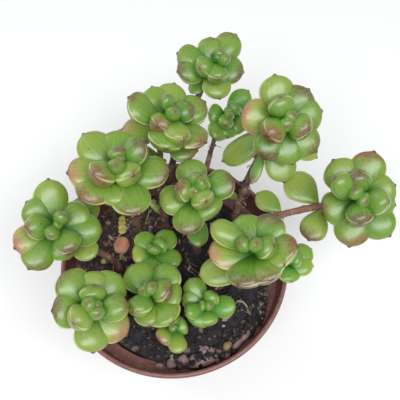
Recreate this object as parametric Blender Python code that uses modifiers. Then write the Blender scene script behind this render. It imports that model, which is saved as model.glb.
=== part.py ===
"""A potted sedum: a plastic pot, its soil, and fifteen leafy shoots.

Every shoot is a woody stem that stands in a hole in the soil, with a head of thick, spoon-shaped
leaves on top. The leaves of a head follow one rule: they stand in three rings, which open wider and
grow longer the lower they sit, around a bud.

The origin is the centre of the pot's foot, +Z is up and -Y is the front.
"""

import math
from collections import namedtuple

import bmesh
import bpy
from mathutils import Matrix, Vector
from mathutils.bvhtree import BVHTree

MM = 0.001

# The pot, in millimetres
RIM_RADIUS = 52.5
POT_HEIGHT = 80.0
FOOT_RADIUS = 34.0
WALL = 1.5
LIP_THICKNESS = 2.2
COLLAR_DROP = 14.0
COLLAR_TAPER = 2.0
LEDGE_WIDTH = 5.0
FLOOR_THICKNESS = 2.0
DRAIN_RADIUS = 3.5
DRAIN_CIRCLE = 24.0
DRAIN_COUNT = 6
POT_STEPS = 40
LIP_CORNER = 0.25
LEDGE_UNDERSIDE = 2.25
WELD = 0.01

# The soil, in millimetres
GAP = 0.3
SOIL_SIDE_GAP = 0.5
SOIL_TOP = 65.0
SOIL_RINGS = 4
SOIL_STEPS = 24
LUMP_HEIGHT = 1.1
LUMP_LENGTH_X = 20.0
LUMP_LENGTH_Y = 23.0
LUMP_SHIFT = 0.7
RIPPLE_LENGTH = 12.0
RIPPLE_SHARE = 0.5
HOLE_DEPTH = 10.0

# The leaves and stems, in millimetres where they are lengths
LEAF_BOW = 0.04
LEAF_POINT = 0.05
POINT_START = 0.9
OUTLINE_RISE = 0.95
OUTLINE_FALL = 0.55
DEPTH_RISE = 0.7
DEPTH_FALL = 0.5
STEM_LEAF_THICKNESS = 0.4
STEM_LEAF_GAP = 0.5
DROP_HEIGHT = 20.0
LEAF_SIDES = 6
LEAF_RINGS = 4
FACET_SWELL = 1.06
ON_AXIS = 1e-6
YOUNG_SHOOT_LEAF = 17.0
BUD_OPENING = 8.0
BUD_LENGTH = 0.26
BUD_WIDTH = 0.22
HEAD_DEPTH = 0.45
CORE_BELOW = 4.0
CORE_ABOVE = 2.0
CORE_FOOT = 0.85
CORE_TOP = 0.9
STEM_TAPER = 0.38
STEM_RISE = 0.5
STEM_FALL = 0.2
STEM_FOOT = 1.0
STEM_POINTS = 6
STEM_STRAIGHT = 1.5
HOLE_SIDES = 8

# The rings of leaves in a head: the depth of their roots below the head's top, their width and their
# thickness, all as shares of the shoot's leaf size
Whorl = namedtuple("Whorl", "name depth width thickness")
WHORLS = [
    Whorl("outer", 0.42, 0.78, 0.42),
    Whorl("middle", 0.22, 0.58, 0.50),
    Whorl("inner", 0.05, 0.36, 0.32),
]

# One row a shoot: where it leaves the soil (x, y), the top of its head (x, y, z), how far the head
# leans in degrees and towards which direction, the size of its leaves, the stem's radius, how wide
# its outer, middle and inner leaves open in degrees, and the bearing and length of each leaf.
Shoot = namedtuple("Shoot", "name root head lean towards leaf stem openings outer middle inner")
SHOOTS = [
    Shoot("01", (0, 34), (36, 84, 114), 20, 295, 18, 1.9, (85, 55, 30),
          outer=[(45, 21), (85, 15), (155, 19), (185, 19), (340, 16), (270, 18)],
          middle=[(205, 13), (265, 14)],
          inner=[(50, 7), (325, 10)]),
    Shoot("02", (-1, 22), (10, 54, 119), 20, 0, 20, 1.9, (70, 65, 30),
          outer=[(155, 22), (110, 19), (75, 21), (25, 22), (280, 18), (255, 20), (315, 22)],
          middle=[(20, 13), (225, 12), (275, 19)],
          inner=[(140, 11), (250, 12)]),
    Shoot("03", (32, 18), (57, 37, 125), 30, 270, 20, 1.9, (85, 45, 25),
          outer=[(90, 21), (40, 19), (5, 19), (160, 19), (235, 19), (275, 20), (310, 21)],
          middle=[(100, 14), (210, 16), (325, 15)],
          inner=[(260, 7), (25, 7)]),
    Shoot("04", (30, 10), (83, 3, 107), 25, 240, 20, 1.9, (85, 50, 25),
          outer=[(60, 23), (110, 21), (10, 18), (340, 17), (300, 22), (250, 22), (195, 17)],
          middle=[(130, 18), (82, 15), (340, 16), (260, 15)],
          inner=[(320, 7), (115, 9)]),
    Shoot("05", (-14, 24), (-16, 31, 123), 10, 340, 21, 1.9, (80, 50, 30),
          outer=[(125, 23), (80, 20), (180, 22), (215, 22), (265, 18), (285, 24), (350, 23)],
          middle=[(25, 17), (215, 18), (300, 13)],
          inner=[(95, 8), (255, 13)]),
    Shoot("06", (12, 9), (14, 19, 110), 10, 250, 18, 1.9, (80, 40, 25),
          outer=[(90, 17), (10, 19), (300, 14), (245, 20), (185, 17)],
          middle=[(175, 11), (50, 10), (295, 14)],
          inner=[(260, 6), (10, 10)]),
    Shoot("07", (-26, 6), (-47, 15, 107), 25, 305, 19, 1.9, (80, 60, 35),
          outer=[(90, 22), (130, 17), (200, 20), (230, 22), (285, 16), (345, 21), (15, 17)],
          middle=[(175, 15), (295, 16)],
          inner=[(50, 9), (235, 10)]),
    Shoot("08", (-24, -10), (-34, -24, 109), 25, 330, 19, 1.9, (85, 55, 30),
          outer=[(120, 19), (70, 16), (40, 19), (175, 16), (265, 18), (315, 19)],
          middle=[(345, 16), (210, 14), (85, 10)],
          inner=[(165, 8), (265, 8)]),
    Shoot("09", (-10, -14), (-13, -17, 98), 10, 120, 18, 1.9, (75, 60, 30),
          outer=[(112, 17), (36, 17), (265, 16), (295, 19), (340, 15)],
          middle=[(240, 15), (340, 12)],
          inner=[(250, 6), (320, 8)]),
    Shoot("10", (24, -8), (32, -12, 114), 15, 140, 19, 1.9, (70, 55, 30),
          outer=[(170, 20), (95, 18), (40, 19), (340, 20), (283, 19), (240, 20), (310, 17)],
          middle=[(143, 21), (330, 12)],
          inner=[(200, 9), (298, 10)]),
    Shoot("11", (-8, 2), (-8, 4, 88), 15, 25, 13, 1.5, (80, 50, 25),
          outer=[(110, 13), (45, 16), (340, 14), (175, 10), (260, 9)],
          middle=[(35, 8)],
          inner=[(215, 6), (285, 6)]),
    Shoot("12", (12, -18), (10, -25, 85), 10, 250, 13, 1.5, (80, 50, 25),
          outer=[(110, 15), (350, 14), (265, 9), (225, 10), (135, 12)],
          middle=[(195, 12), (40, 9)],
          inner=[(345, 6), (170, 4)]),
    Shoot("13", (-10, -29), (-5, -30, 78), 10, 320, 11, 1.2, (75, 45, 20),
          outer=[(212, 9), (275, 12), (15, 7)],
          middle=[(95, 6)],
          inner=[(190, 3)]),
    Shoot("14", (14, 20), (39, 64, 97), 25, 300, 14, 1.5, (80, 50, 25),
          outer=[(40, 18), (165, 10), (260, 12), (230, 15), (315, 12)],
          middle=[(40, 8), (235, 10)],
          inner=[(130, 5), (230, 8)]),
    Shoot("15", (34, -8), (50, -13, 92), 15, 5, 13, 1.5, (80, 50, 25),
          outer=[(20, 15), (345, 13), (270, 10), (180, 9), (75, 11)],
          middle=[(350, 7)],
          inner=[(210, 5)]),
]

# Single leaves on the bare stretches of stem: the stem, how far along it, the leaf's tip (x, y, z)
# and its width
StemLeaf = namedtuple("StemLeaf", "name shoot along tip width")
STEM_LEAVES = [
    StemLeaf("leaf", "01", 0.80, (22, 79, 98), 8),
    StemLeaf("leaf_a", "02", 0.80, (-14, 59, 106), 16),
    StemLeaf("leaf_b", "02", 0.74, (20, 44, 100), 16),
    StemLeaf("leaf_c", "02", 0.14, (-6, 33, 81), 4.4),
    StemLeaf("leaf_d", "02", 0.60, (-7, 46, 98), 14),
    StemLeaf("leaf_a", "03", 0.66, (30.5, 41.5, 91), 14),
    StemLeaf("leaf_b", "03", 0.68, (56, 21.5, 96.5), 15),
    StemLeaf("leaf_c", "03", 0.55, (41, 24, 96), 5),
    StemLeaf("leaf_d", "03", 0.80, (73, 29, 101), 12),
    StemLeaf("leaf_e", "03", 0.20, (32, 30, 80), 4),
    StemLeaf("leaf_c", "04", 0.54, (60, 29.5, 90), 15.5),
    StemLeaf("leaf_d", "04", 0.36, (44, 24, 87), 10.5),
    StemLeaf("leaf_e", "04", 0.55, (62, -4, 85), 13),
    StemLeaf("leaf", "06", 0.60, (12, 1, 88), 9),
    StemLeaf("leaf_a", "07", 0.70, (-30, 33, 92), 14),
    StemLeaf("leaf_b", "07", 0.57, (-34, 5, 89), 11),
    StemLeaf("leaf", "10", 0.85, (9, -15, 97), 14),
]

# Leaves that have dropped on the soil: root (x, y), tip (x, y), width and thickness
Fallen = namedtuple("Fallen", "name root tip width thickness")
FALLEN = [
    Fallen("fallen_leaf_pink", (-26, 14), (-22, 22), 7.6, 3.0),
    Fallen("fallen_leaf_yellow", (-23, 24), (-22, 34), 5, 2.4),
    Fallen("fallen_bud", (-35, 11), (-29, 14), 3.4, 2.2),
]

MATERIALS = {
    "pot": ((0.36, 0.12, 0.08), 0.45),
    "soil": ((0.03, 0.02, 0.016), 0.95),
    "stem": ((0.20, 0.12, 0.07), 0.8),
    "leaf": ((0.16, 0.38, 0.07), 0.35),
    "young_leaf": ((0.12, 0.42, 0.10), 0.35),
    "old_leaf": ((0.38, 0.48, 0.10), 0.4),
    "dry_leaf": ((0.62, 0.26, 0.14), 0.6),
}


def clear_scene():
    for item in list(bpy.data.objects):
        bpy.data.objects.remove(item, do_unlink=True)
    for group in list(bpy.data.collections):
        bpy.data.collections.remove(group)


def new_collection(name):
    group = bpy.data.collections.new(name)
    bpy.context.scene.collection.children.link(group)
    return group


def make_material(name):
    colour, roughness = MATERIALS[name]
    material = bpy.data.materials.new(name)
    material.use_nodes = True
    shader = material.node_tree.nodes["Principled BSDF"]
    shader.inputs["Base Color"].default_value = (*colour, 1.0)
    shader.inputs["Roughness"].default_value = roughness
    shader.inputs["Metallic"].default_value = 0.0
    return material


def add_object(name, mesh, group, material=None):
    item = bpy.data.objects.new(name, mesh)
    group.objects.link(item)
    if material is not None:
        mesh.materials.clear()
        mesh.materials.append(material)
    return item


def mesh_from(bm, name):
    bmesh.ops.recalc_face_normals(bm, faces=bm.faces)
    mesh = bpy.data.meshes.new(name)
    bm.to_mesh(mesh)
    bm.free()
    return mesh


def evaluated_mesh(item, name):
    """The mesh that an object shows, with its modifiers applied and its place written into it."""
    bpy.context.view_layer.update()
    graph = bpy.context.evaluated_depsgraph_get()
    mesh = bpy.data.meshes.new_from_object(item.evaluated_get(graph))
    mesh.name = name
    mesh.transform(item.matrix_world)
    return mesh


def turned(name, profile, steps, group):
    """Turn a profile, given in millimetres as (radius, height), about the Z axis."""
    bm = bmesh.new()
    points = [bm.verts.new((radius * MM, 0.0, height * MM)) for radius, height in profile]
    for first, second in zip(points, points[1:]):
        bm.edges.new((first, second))
    mesh = bpy.data.meshes.new(name)
    bm.to_mesh(mesh)
    bm.free()
    item = add_object(name, mesh, group)
    screw = item.modifiers.new("turn", "SCREW")
    screw.axis = "Z"
    screw.steps = steps
    screw.render_steps = steps
    screw.use_merge_vertices = True
    screw.merge_threshold = WELD * MM
    solid = evaluated_mesh(item, name)
    bpy.data.objects.remove(item, do_unlink=True)
    return add_object(name, solid, group)


def upright_cylinder(name, centre, radius, low, high, sides, group):
    bm = bmesh.new()
    bmesh.ops.create_cone(
        bm, cap_ends=True, segments=sides, radius1=radius * MM, radius2=radius * MM,
        depth=(high - low) * MM,
    )
    item = add_object(name, mesh_from(bm, name), group)
    item.location = (centre[0] * MM, centre[1] * MM, (low + high) / 2 * MM)
    return item


def boolean_all(item, operation, operands):
    """Cut by, or join with, everything in a collection, apply it, and remove what it used."""
    modifier = item.modifiers.new("boolean", "BOOLEAN")
    modifier.operation = operation
    modifier.operand_type = "COLLECTION"
    modifier.collection = operands
    mesh = evaluated_mesh(item, item.name)
    item.modifiers.clear()
    item.data = mesh
    for used in list(operands.objects):
        bpy.data.objects.remove(used, do_unlink=True)


def drop_scrap(item):
    """Keep the largest connected body of an object: joining can leave a scrap or a sealed hollow."""
    bm = bmesh.new()
    bm.from_mesh(item.data)
    waiting = set(bm.verts)
    bodies = []
    while waiting:
        body = [waiting.pop()]
        for vert in body:
            for edge in vert.link_edges:
                other = edge.other_vert(vert)
                if other in waiting:
                    waiting.discard(other)
                    body.append(other)
        bodies.append(body)
    bodies.sort(key=len)
    scrap = [vert for body in bodies[:-1] for vert in body]
    bmesh.ops.delete(bm, geom=scrap, context="VERTS")
    bm.to_mesh(item.data)
    bm.free()


def drain_centres():
    for index in range(DRAIN_COUNT):
        angle = 2 * math.pi * (index + 0.5) / DRAIN_COUNT
        yield DRAIN_CIRCLE * math.cos(angle), DRAIN_CIRCLE * math.sin(angle)


def body_radius(height):
    """The inside radius of the pot's tapered body, below its ledge."""
    ledge = POT_HEIGHT - COLLAR_DROP
    inside_top = RIM_RADIUS - LIP_THICKNESS - COLLAR_TAPER - LEDGE_WIDTH
    inside_foot = FOOT_RADIUS - WALL
    return inside_foot + (inside_top - inside_foot) * height / ledge


def make_pot(group, cutters, material):
    ledge = POT_HEIGHT - COLLAR_DROP
    collar_top = RIM_RADIUS - LIP_THICKNESS / 2 + WALL / 2
    collar_low = collar_top - COLLAR_TAPER
    profile = [
        (0.0, FLOOR_THICKNESS),
        (body_radius(FLOOR_THICKNESS), FLOOR_THICKNESS),
        (body_radius(ledge - WALL), ledge - WALL),
        (body_radius(ledge) + WALL / 2, ledge),
        (collar_low - WALL, ledge),
        (collar_top - WALL, POT_HEIGHT - LIP_THICKNESS),
        (RIM_RADIUS - LIP_THICKNESS, POT_HEIGHT - LIP_THICKNESS / 2),
        (RIM_RADIUS - LIP_THICKNESS * (1 - LIP_CORNER), POT_HEIGHT),
        (RIM_RADIUS - LIP_THICKNESS * LIP_CORNER, POT_HEIGHT),
        (RIM_RADIUS, POT_HEIGHT - LIP_THICKNESS / 2),
        (collar_top, POT_HEIGHT - LIP_THICKNESS),
        (collar_low, ledge - WALL),
        (body_radius(ledge) + WALL, ledge - LEDGE_UNDERSIDE),
        (FOOT_RADIUS, 0.0),
        (0.0, 0.0),
    ]
    pot = turned("pot", profile, POT_STEPS, group)
    pot.data.materials.append(material)
    for index, centre in enumerate(drain_centres()):
        upright_cylinder(
            f"drain_{index}", centre, DRAIN_RADIUS, -FLOOR_THICKNESS, 2 * FLOOR_THICKNESS,
            HOLE_SIDES, cutters,
        )
    boolean_all(pot, "DIFFERENCE", cutters)
    return pot


def soil_height(x, y):
    """The lumpy top of the soil, level at its edge."""
    reach = min(1.0, math.hypot(x, y) / body_radius(SOIL_TOP))
    calm = 1.0 - reach ** 4
    turn = 2 * math.pi
    lumps = math.sin(turn * x / LUMP_LENGTH_X + LUMP_SHIFT) * math.cos(turn * y / LUMP_LENGTH_Y)
    ripples = math.sin(turn * (x - y) / RIPPLE_LENGTH)
    return SOIL_TOP + LUMP_HEIGHT * calm * (lumps + RIPPLE_SHARE * ripples)


def make_soil(group, cutters, material):
    edge = body_radius(SOIL_TOP) - SOIL_SIDE_GAP
    low = FLOOR_THICKNESS + GAP
    profile = [(0.0, SOIL_TOP)]
    profile += [(edge * ring / SOIL_RINGS, SOIL_TOP) for ring in range(1, SOIL_RINGS + 1)]
    profile += [(body_radius(low) - SOIL_SIDE_GAP, low), (0.0, low)]
    soil = turned("soil", profile, SOIL_STEPS, group)
    bm = bmesh.new()
    bm.from_mesh(soil.data)
    bmesh.ops.triangulate(bm, faces=bm.faces)
    for vert in bm.verts:
        if vert.co.z > (SOIL_TOP - GAP) * MM:
            vert.co.z = soil_height(vert.co.x / MM, vert.co.y / MM) * MM
    soil.data = mesh_from(bm, "soil")
    soil.data.materials.append(material)
    for shoot in SHOOTS:
        radius = (shoot.stem + GAP) / math.cos(math.pi / HOLE_SIDES)
        upright_cylinder(
            f"hole_{shoot.name}", shoot.root, radius, SOIL_TOP - HOLE_DEPTH - GAP,
            SOIL_TOP + HOLE_DEPTH, HOLE_SIDES, cutters,
        )
    boolean_all(soil, "DIFFERENCE", cutters)
    return soil


def head_axis(shoot):
    lean = math.radians(shoot.lean)
    towards = math.radians(shoot.towards)
    return Vector((
        math.sin(lean) * math.cos(towards),
        math.sin(lean) * math.sin(towards),
        math.cos(lean),
    ))


def stem_path(shoot):
    """Straight up out of the hole, one smooth bend, then straight into the foot of the head."""
    axis = head_axis(shoot)
    tip = Vector(shoot.head) - (HEAD_DEPTH * shoot.leaf + CORE_BELOW + GAP) * axis
    start = Vector((*shoot.root, SOIL_TOP + STEM_FOOT))
    end = tip - STEM_STRAIGHT * axis
    reach = (end - start).length
    rise = start + Vector((0, 0, STEM_RISE * reach))
    fall = end - STEM_FALL * reach * axis
    points = [Vector((*shoot.root, SOIL_TOP - HOLE_DEPTH))]
    for index in range(STEM_POINTS):
        t = index / (STEM_POINTS - 1)
        points.append(
            (1 - t) ** 3 * start + 3 * (1 - t) ** 2 * t * rise
            + 3 * (1 - t) * t ** 2 * fall + t ** 3 * end
        )
    points.append(tip)
    return points


def stem_radius(shoot, along):
    """The stem's radius at a fraction of the way from the soil to the head."""
    return shoot.stem * (1 - STEM_TAPER * max(0.0, along))


def make_stem(shoot, group, material):
    name = f"shoot_{shoot.name}_stem"
    curve = bpy.data.curves.new(name, "CURVE")
    curve.dimensions = "3D"
    curve.bevel_depth = shoot.stem * MM
    curve.bevel_resolution = 1
    curve.use_fill_caps = True
    path = stem_path(shoot)
    spline = curve.splines.new("POLY")
    spline.points.add(len(path) - 1)
    for index, (point, place) in enumerate(zip(spline.points, path)):
        point.co = (*(place * MM), 1.0)
        point.radius = stem_radius(shoot, (index - 1) / (len(path) - 2)) / shoot.stem
    rod = bpy.data.objects.new(name, curve)
    group.objects.link(rod)
    mesh = evaluated_mesh(rod, name)
    bpy.data.objects.remove(rod, do_unlink=True)
    bm = bmesh.new()
    bm.from_mesh(mesh)
    bmesh.ops.remove_doubles(bm, verts=bm.verts, dist=WELD * MM)
    return add_object(name, mesh_from(bm, name), group, material)


# A leaf in a head: where it grows from and ends, the side its face looks to, and its sizes
Leaf = namedtuple("Leaf", "root tip upper width thickness")


def swell(u, rise, fall):
    """How full a leaf is at a fraction of the way from its root to its tip, 1 at its fullest."""
    fullest = rise / (rise + fall)
    return (max(0.0, u) / fullest) ** rise * (max(0.0, 1 - u) / (1 - fullest)) ** fall


def leaf_mesh(name, leaf):
    """A thick spoon-shaped leaf, made from a sphere drawn out from its root to its tip."""
    along = leaf.tip - leaf.root
    length = along.length
    along.normalize()
    side = leaf.upper.cross(along).normalized()
    face = along.cross(side)
    bm = bmesh.new()
    bmesh.ops.create_uvsphere(bm, u_segments=LEAF_SIDES, v_segments=LEAF_RINGS, radius=1.0)
    for vert in bm.verts:
        u = (1.0 + vert.co.z) / 2
        ring = math.hypot(vert.co.x, vert.co.y)
        across = 0.0 if ring < ON_AXIS else vert.co.x / ring
        height = 0.0 if ring < ON_AXIS else vert.co.y / ring
        half_width = FACET_SWELL * leaf.width / 2 * swell(u, OUTLINE_RISE, OUTLINE_FALL)
        half_thickness = FACET_SWELL * leaf.thickness / 2 * swell(u, DEPTH_RISE, DEPTH_FALL)
        point = LEAF_POINT * max(0.0, (u - POINT_START) / (1 - POINT_START)) ** 2
        reach = length * (u + point) / (1 + LEAF_POINT)
        bow = -LEAF_BOW * length * 4 * u * (1 - u)
        place = leaf.root + reach * along + half_width * across * side
        vert.co = (place + (bow + half_thickness * height) * face) * MM
    bmesh.ops.triangulate(bm, faces=bm.faces)
    return mesh_from(bm, name)


def head_leaf(shoot, bearing, opening, length, depth, width, thickness):
    """One leaf of a head, by its bearing around the head's axis and how wide it opens."""
    axis = head_axis(shoot)
    reference = (Vector((1, 0, 0)) - axis.x * axis).normalized()
    quarter = axis.cross(reference)
    outward = math.cos(math.radians(bearing)) * reference + math.sin(math.radians(bearing)) * quarter
    rise = math.cos(math.radians(opening))
    reach = math.sin(math.radians(opening))
    root = Vector(shoot.head) - depth * shoot.leaf * axis
    tip = root + length * (rise * axis + reach * outward)
    upper = reach * axis - rise * outward
    return Leaf(root, tip, upper, width * shoot.leaf, thickness * shoot.leaf)


def head_leaves(shoot):
    """The leaves of a head: three rings and the bud."""
    for whorl, opening in zip(WHORLS, shoot.openings):
        for bearing, length in getattr(shoot, whorl.name):
            yield head_leaf(shoot, bearing, opening, length, whorl.depth, whorl.width, whorl.thickness)
    yield head_leaf(shoot, 0, BUD_OPENING, BUD_LENGTH * shoot.leaf, 0, BUD_WIDTH, BUD_WIDTH)


def make_head(shoot, group, helpers, material):
    name = f"shoot_{shoot.name}_head"
    axis = head_axis(shoot)
    low = -HEAD_DEPTH * shoot.leaf - CORE_BELOW
    high = CORE_ABOVE
    bm = bmesh.new()
    bmesh.ops.create_cone(
        bm, cap_ends=True, segments=LEAF_SIDES, radius1=CORE_FOOT * shoot.stem * MM,
        radius2=CORE_TOP * shoot.stem * MM, depth=(high - low) * MM,
    )
    turn = axis.to_track_quat("Z", "Y").to_matrix()
    centre = (Vector(shoot.head) + (high + low) / 2 * axis) * MM
    for vert in bm.verts:
        vert.co = turn @ vert.co + centre
    head = add_object(name, mesh_from(bm, name), group, material)
    for leaf in head_leaves(shoot):
        add_object("leaf", leaf_mesh("leaf", leaf), helpers)
    boolean_all(head, "UNION", helpers)
    drop_scrap(head)
    return head


def path_point(path, along):
    """The place and direction at a fraction of the way along a path."""
    position = 1 + along * (len(path) - 2)
    index = min(int(position), len(path) - 2)
    part = position - index
    direction = (path[index + 1] - path[index]).normalized()
    return path[index].lerp(path[index + 1], part), direction


def make_stem_leaf(row, group, material):
    shoot = next(item for item in SHOOTS if item.name == row.shoot)
    place, direction = path_point(stem_path(shoot), row.along)
    tip = Vector(row.tip)
    outward = tip - place
    outward = (outward - outward.dot(direction) * direction).normalized()
    root = place + (stem_radius(shoot, row.along) + STEM_LEAF_GAP) * outward
    name = f"shoot_{row.shoot}_{row.name}"
    leaf = Leaf(root, tip, Vector((0, 0, 1)), row.width, STEM_LEAF_THICKNESS * row.width)
    return add_object(name, leaf_mesh(name, leaf), group, material)


def make_fallen(row, soil, group, material):
    """A leaf that lies level, let down until its lowest point is one gap above the soil."""
    high = SOIL_TOP + DROP_HEIGHT
    root = Vector((*row.root, high))
    tip = Vector((*row.tip, high))
    leaf = Leaf(root, tip, Vector((0, 0, 1)), row.width, row.thickness)
    mesh = leaf_mesh(row.name, leaf)
    ground = BVHTree.FromPolygons(
        [vert.co for vert in soil.data.vertices], [face.vertices for face in soil.data.polygons],
    )
    room = min(ground.ray_cast(vert.co, Vector((0, 0, -1)))[3] for vert in mesh.vertices)
    mesh.transform(Matrix.Translation((0, 0, GAP * MM - room)))
    return add_object(row.name, mesh, group, material)


def main():
    clear_scene()
    part = new_collection("potted_sedum")
    cutters = new_collection("cutters")
    helpers = new_collection("leaves_to_join")
    materials = {name: make_material(name) for name in MATERIALS}
    make_pot(part, cutters, materials["pot"])
    soil = make_soil(part, cutters, materials["soil"])
    for shoot in SHOOTS:
        young = shoot.leaf < YOUNG_SHOOT_LEAF
        make_stem(shoot, part, materials["stem"])
        make_head(shoot, part, helpers, materials["young_leaf" if young else "leaf"])
    for row in STEM_LEAVES:
        make_stem_leaf(row, part, materials["old_leaf"])
    for row in FALLEN:
        make_fallen(row, soil, part, materials["dry_leaf"])


main()
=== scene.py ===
"""The looks of a potted sedum: waxy leaves, barky stems, crumbling soil and a moulded pot.

Each solid of the model has one finer piece here that keeps its form. The other pieces are scattered over
the soil and the stems. Lengths are in millimetres until a mesh is written, and the frame is the model's:
+Z up, -Y the front, the origin at the pot's foot.
"""

import math
from collections import namedtuple

import bmesh
import bpy
import numpy as np
from mathutils import Matrix, Vector, noise


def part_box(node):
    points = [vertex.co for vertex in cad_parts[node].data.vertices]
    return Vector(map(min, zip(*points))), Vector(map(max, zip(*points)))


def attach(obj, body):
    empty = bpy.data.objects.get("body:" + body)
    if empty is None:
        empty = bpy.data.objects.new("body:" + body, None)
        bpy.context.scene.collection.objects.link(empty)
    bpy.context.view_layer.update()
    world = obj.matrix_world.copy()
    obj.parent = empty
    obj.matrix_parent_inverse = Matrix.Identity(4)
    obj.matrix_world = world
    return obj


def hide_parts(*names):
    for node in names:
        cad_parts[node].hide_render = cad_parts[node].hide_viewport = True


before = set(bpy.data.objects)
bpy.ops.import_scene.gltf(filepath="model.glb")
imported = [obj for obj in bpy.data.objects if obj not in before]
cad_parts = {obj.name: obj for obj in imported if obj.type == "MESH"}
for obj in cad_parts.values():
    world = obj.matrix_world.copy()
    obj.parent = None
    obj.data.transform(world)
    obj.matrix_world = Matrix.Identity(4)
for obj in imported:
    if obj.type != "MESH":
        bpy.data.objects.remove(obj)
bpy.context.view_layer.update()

MM = 0.001
SEED = 7

# The camera that took the photograph, fitted to the pot's rim
CAMERA_PLACE = (0.0, -96.76, 332.07)
CAMERA_RIGHT = (0.9834, -0.1800, -0.0215)
CAMERA_UP = (0.1704, 0.8774, 0.4486)
CAMERA_LENS = 52.27
SENSOR = 36.0
CLIP_START = 0.01

# The light and the floor, in metres
Light = namedtuple("Light", "name place size power colour")
LIGHTS = [
    Light("window", (0.05, -0.45, 1.0), (1.25, 0.36), 11.0, (0.95, 0.98, 1.0)),
    Light("fill", (-0.6, 0.7, 0.7), (0.8, 0.8), 2.5, (1.0, 0.98, 0.95)),
]
LIT_PLACE = (0.0, 0.0, 0.1)
WORLD_STRENGTH = 0.44
FLOOR_HALF = 3.0

# The pot
RIM_RADIUS = 52.5
POT_HEIGHT = 80.0
FOOT_RADIUS = 34.0
WALL = 1.5
LIP_THICKNESS = 2.2
LIP_START = 200
LIP_TURN = 220
LIP_POINTS = 16
COLLAR_DROP = 14.0
COLLAR_TAPER = 2.0
LEDGE = POT_HEIGHT - COLLAR_DROP
LEDGE_WIDTH = 5.0
FLOOR_THICKNESS = 2.0
DRAIN_RADIUS = 3.5
DRAIN_CIRCLE = 24.0
DRAIN_COUNT = 6
DRAIN_STEPS = 32
POT_STEPS = 192
SHARP_ANGLE = 35

# The soil, with lumps of two sizes on its top. The fine ones have octaves: how rough they are, how much
# finer each is than the last, and how many there are.
Lumps = namedtuple("Lumps", "length height layer")
FINE_LUMPS = Lumps(1.6, 0.55, 3.0)
FINE_OCTAVES = (0.8, 2.0, 3)
COARSE_LUMPS = Lumps(4.5, 0.6, 9.0)
GAP = 0.3
SOIL_SIDE_GAP = 0.5
SOIL_TOP = 65.0
LUMP_HEIGHT = 1.1
LUMP_LENGTH_X = 20.0
LUMP_LENGTH_Y = 23.0
LUMP_SHIFT = 0.7
RIPPLE_LENGTH = 12.0
RIPPLE_SHARE = 0.5
HOLE_DEPTH = 10.0
SOIL_RINGS = 84
SOIL_STEPS = 264

# The mix that has spilt over the ledge, in banks between two bearings in degrees
Bank = namedtuple("Bank", "name start end")
BANKS = [Bank("front", 238, 352), Bank("back", 108, 190)]
SPILL_LUMPS = Lumps(2.2, 0.3, 5.0)
SPILL_FADE = 36
SPILL_INSIDE = 40.5
SPILL_OUTSIDE = 48.2
SPILL_HEIGHT = 1.7
SPILL_OVER = 0.04
SPILL_UNDER = 0.01
SPILL_STEPS = 180
SPILL_ROWS = 22
EDGE_SHARE = 0.9
EDGE_WAVE = 0.25
EDGE_WAVES = 9
DEEP_OUTSIDE = SPILL_OUTSIDE - 1.0
DEEP_SHARE = 0.7

# The crumbs, paler the drier they are and the nearer to the rim
CRUMBS = 3000
SPILL_CRUMBS = 1000
CRUMB_EDGE = 0.6
SPILL_CRUMB_EDGE = 0.3
CRUMB_LEAST = 0.35
CRUMB_SPREAD = 0.9
CRUMB_STRETCH = (0.6, 1.3)
CRUMB_FINE = 0.7
CRUMB_DULL = 0.55
CRUMB_SINK = 0.4
CHUNK_UNEVENNESS = 0.22
PALE_LEAST = 0.12
PALE_INSIDE = 30.0
PALE_RISE = 12.0
DRY_PLACE = (-22, 22)
DRY_REACH = 24.0

# The stones and flakes
CHIP_SINK = 0.25
CHIP_FACES = 12
CHIP_DEPTHS = (0.62, 0.88)
CHIP_REGROWTH = 1.15
CHIP_DENTS = 0.05
CHIP_DENT_LENGTH = 0.6
CHIP_TILT = 0.12

# Threads and flakes of dead plant over the soil, most of them at the back on the left
LITTER_PLACE = (-16, 24)
LITTER_SPREAD = (11, 11)
LITTER_THREADS = 230
LITTER_FLAKES = 420
STRAY_THREADS = 50
STRAY_FLAKES = 90
STRAY_EDGE = 2
LITTER_RADII = (0.10, 0.28)
LITTER_LENGTHS = (2.0, 7.0)
LITTER_LIFTS = (0.2, 1.2)
THREAD_LIFT = 0.8
THREAD_LIGHT = 0.9
THREAD_END = 0.45
THREAD_CURL = 0.5
THREAD_BENDS = 4
THREAD_STRETCHES = 6
THREAD_STEPS = 6
SMOOTHINGS = 3
FLAKE_SIZES = ((0.6, 2.0), (0.4, 1.1), (0.10, 0.2))
FLAKE_TILT = 0.7
FLAKE_LIFT = 0.1

# The leaves
LEAF_BOW = 0.04
LEAF_NIB = 0.035
NIB_WIDTH = 0.11
OUTLINE_RISE = 0.95
OUTLINE_FALL = 0.55
DEPTH_RISE = 0.7
DEPTH_FALL = 0.5
UPPER_FULLNESS = 0.9
LOWER_FULLNESS = 1.1
STEM_LEAF_THICKNESS = 0.4
LEAF_SEAT = 0.85
YOUNG_SHOOT_LEAF = 17.0
BUD_OPENING = 8.0
BUD_LENGTH = 0.26
BUD_WIDTH = 0.22
LEAF_RINGS = 24
LEAF_STEPS = 30
RING_CROWDING = 2.6
MARGIN_CROWDING = 0.6
MARGIN_HEIGHT = 0.16
MARGIN_WIDTH = 0.16
MARGIN_RISE = 0.04
WAVE_ALONG = 0.02
WAVE_AROUND = 0.025
WAVE_FINE = 0.016
POD_RINGS = 40
POD_STEPS = 32
WRINKLE_LENGTH = 1.1

# The core that holds a head's leaves, and the fields of a leaf that are 0 on it
HEAD_DEPTH = 0.45
CORE_BELOW = 4.0
CORE_ABOVE = 2.0
CORE_FOOT = 0.85
CORE_TOP = 0.9
CORE_RINGS = 12
CORE_STEPS = 16
CORE_PLAIN_FIELDS = ("along", "edge", "upper", "side", "brown", "red", "yellow", "lone")

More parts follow.
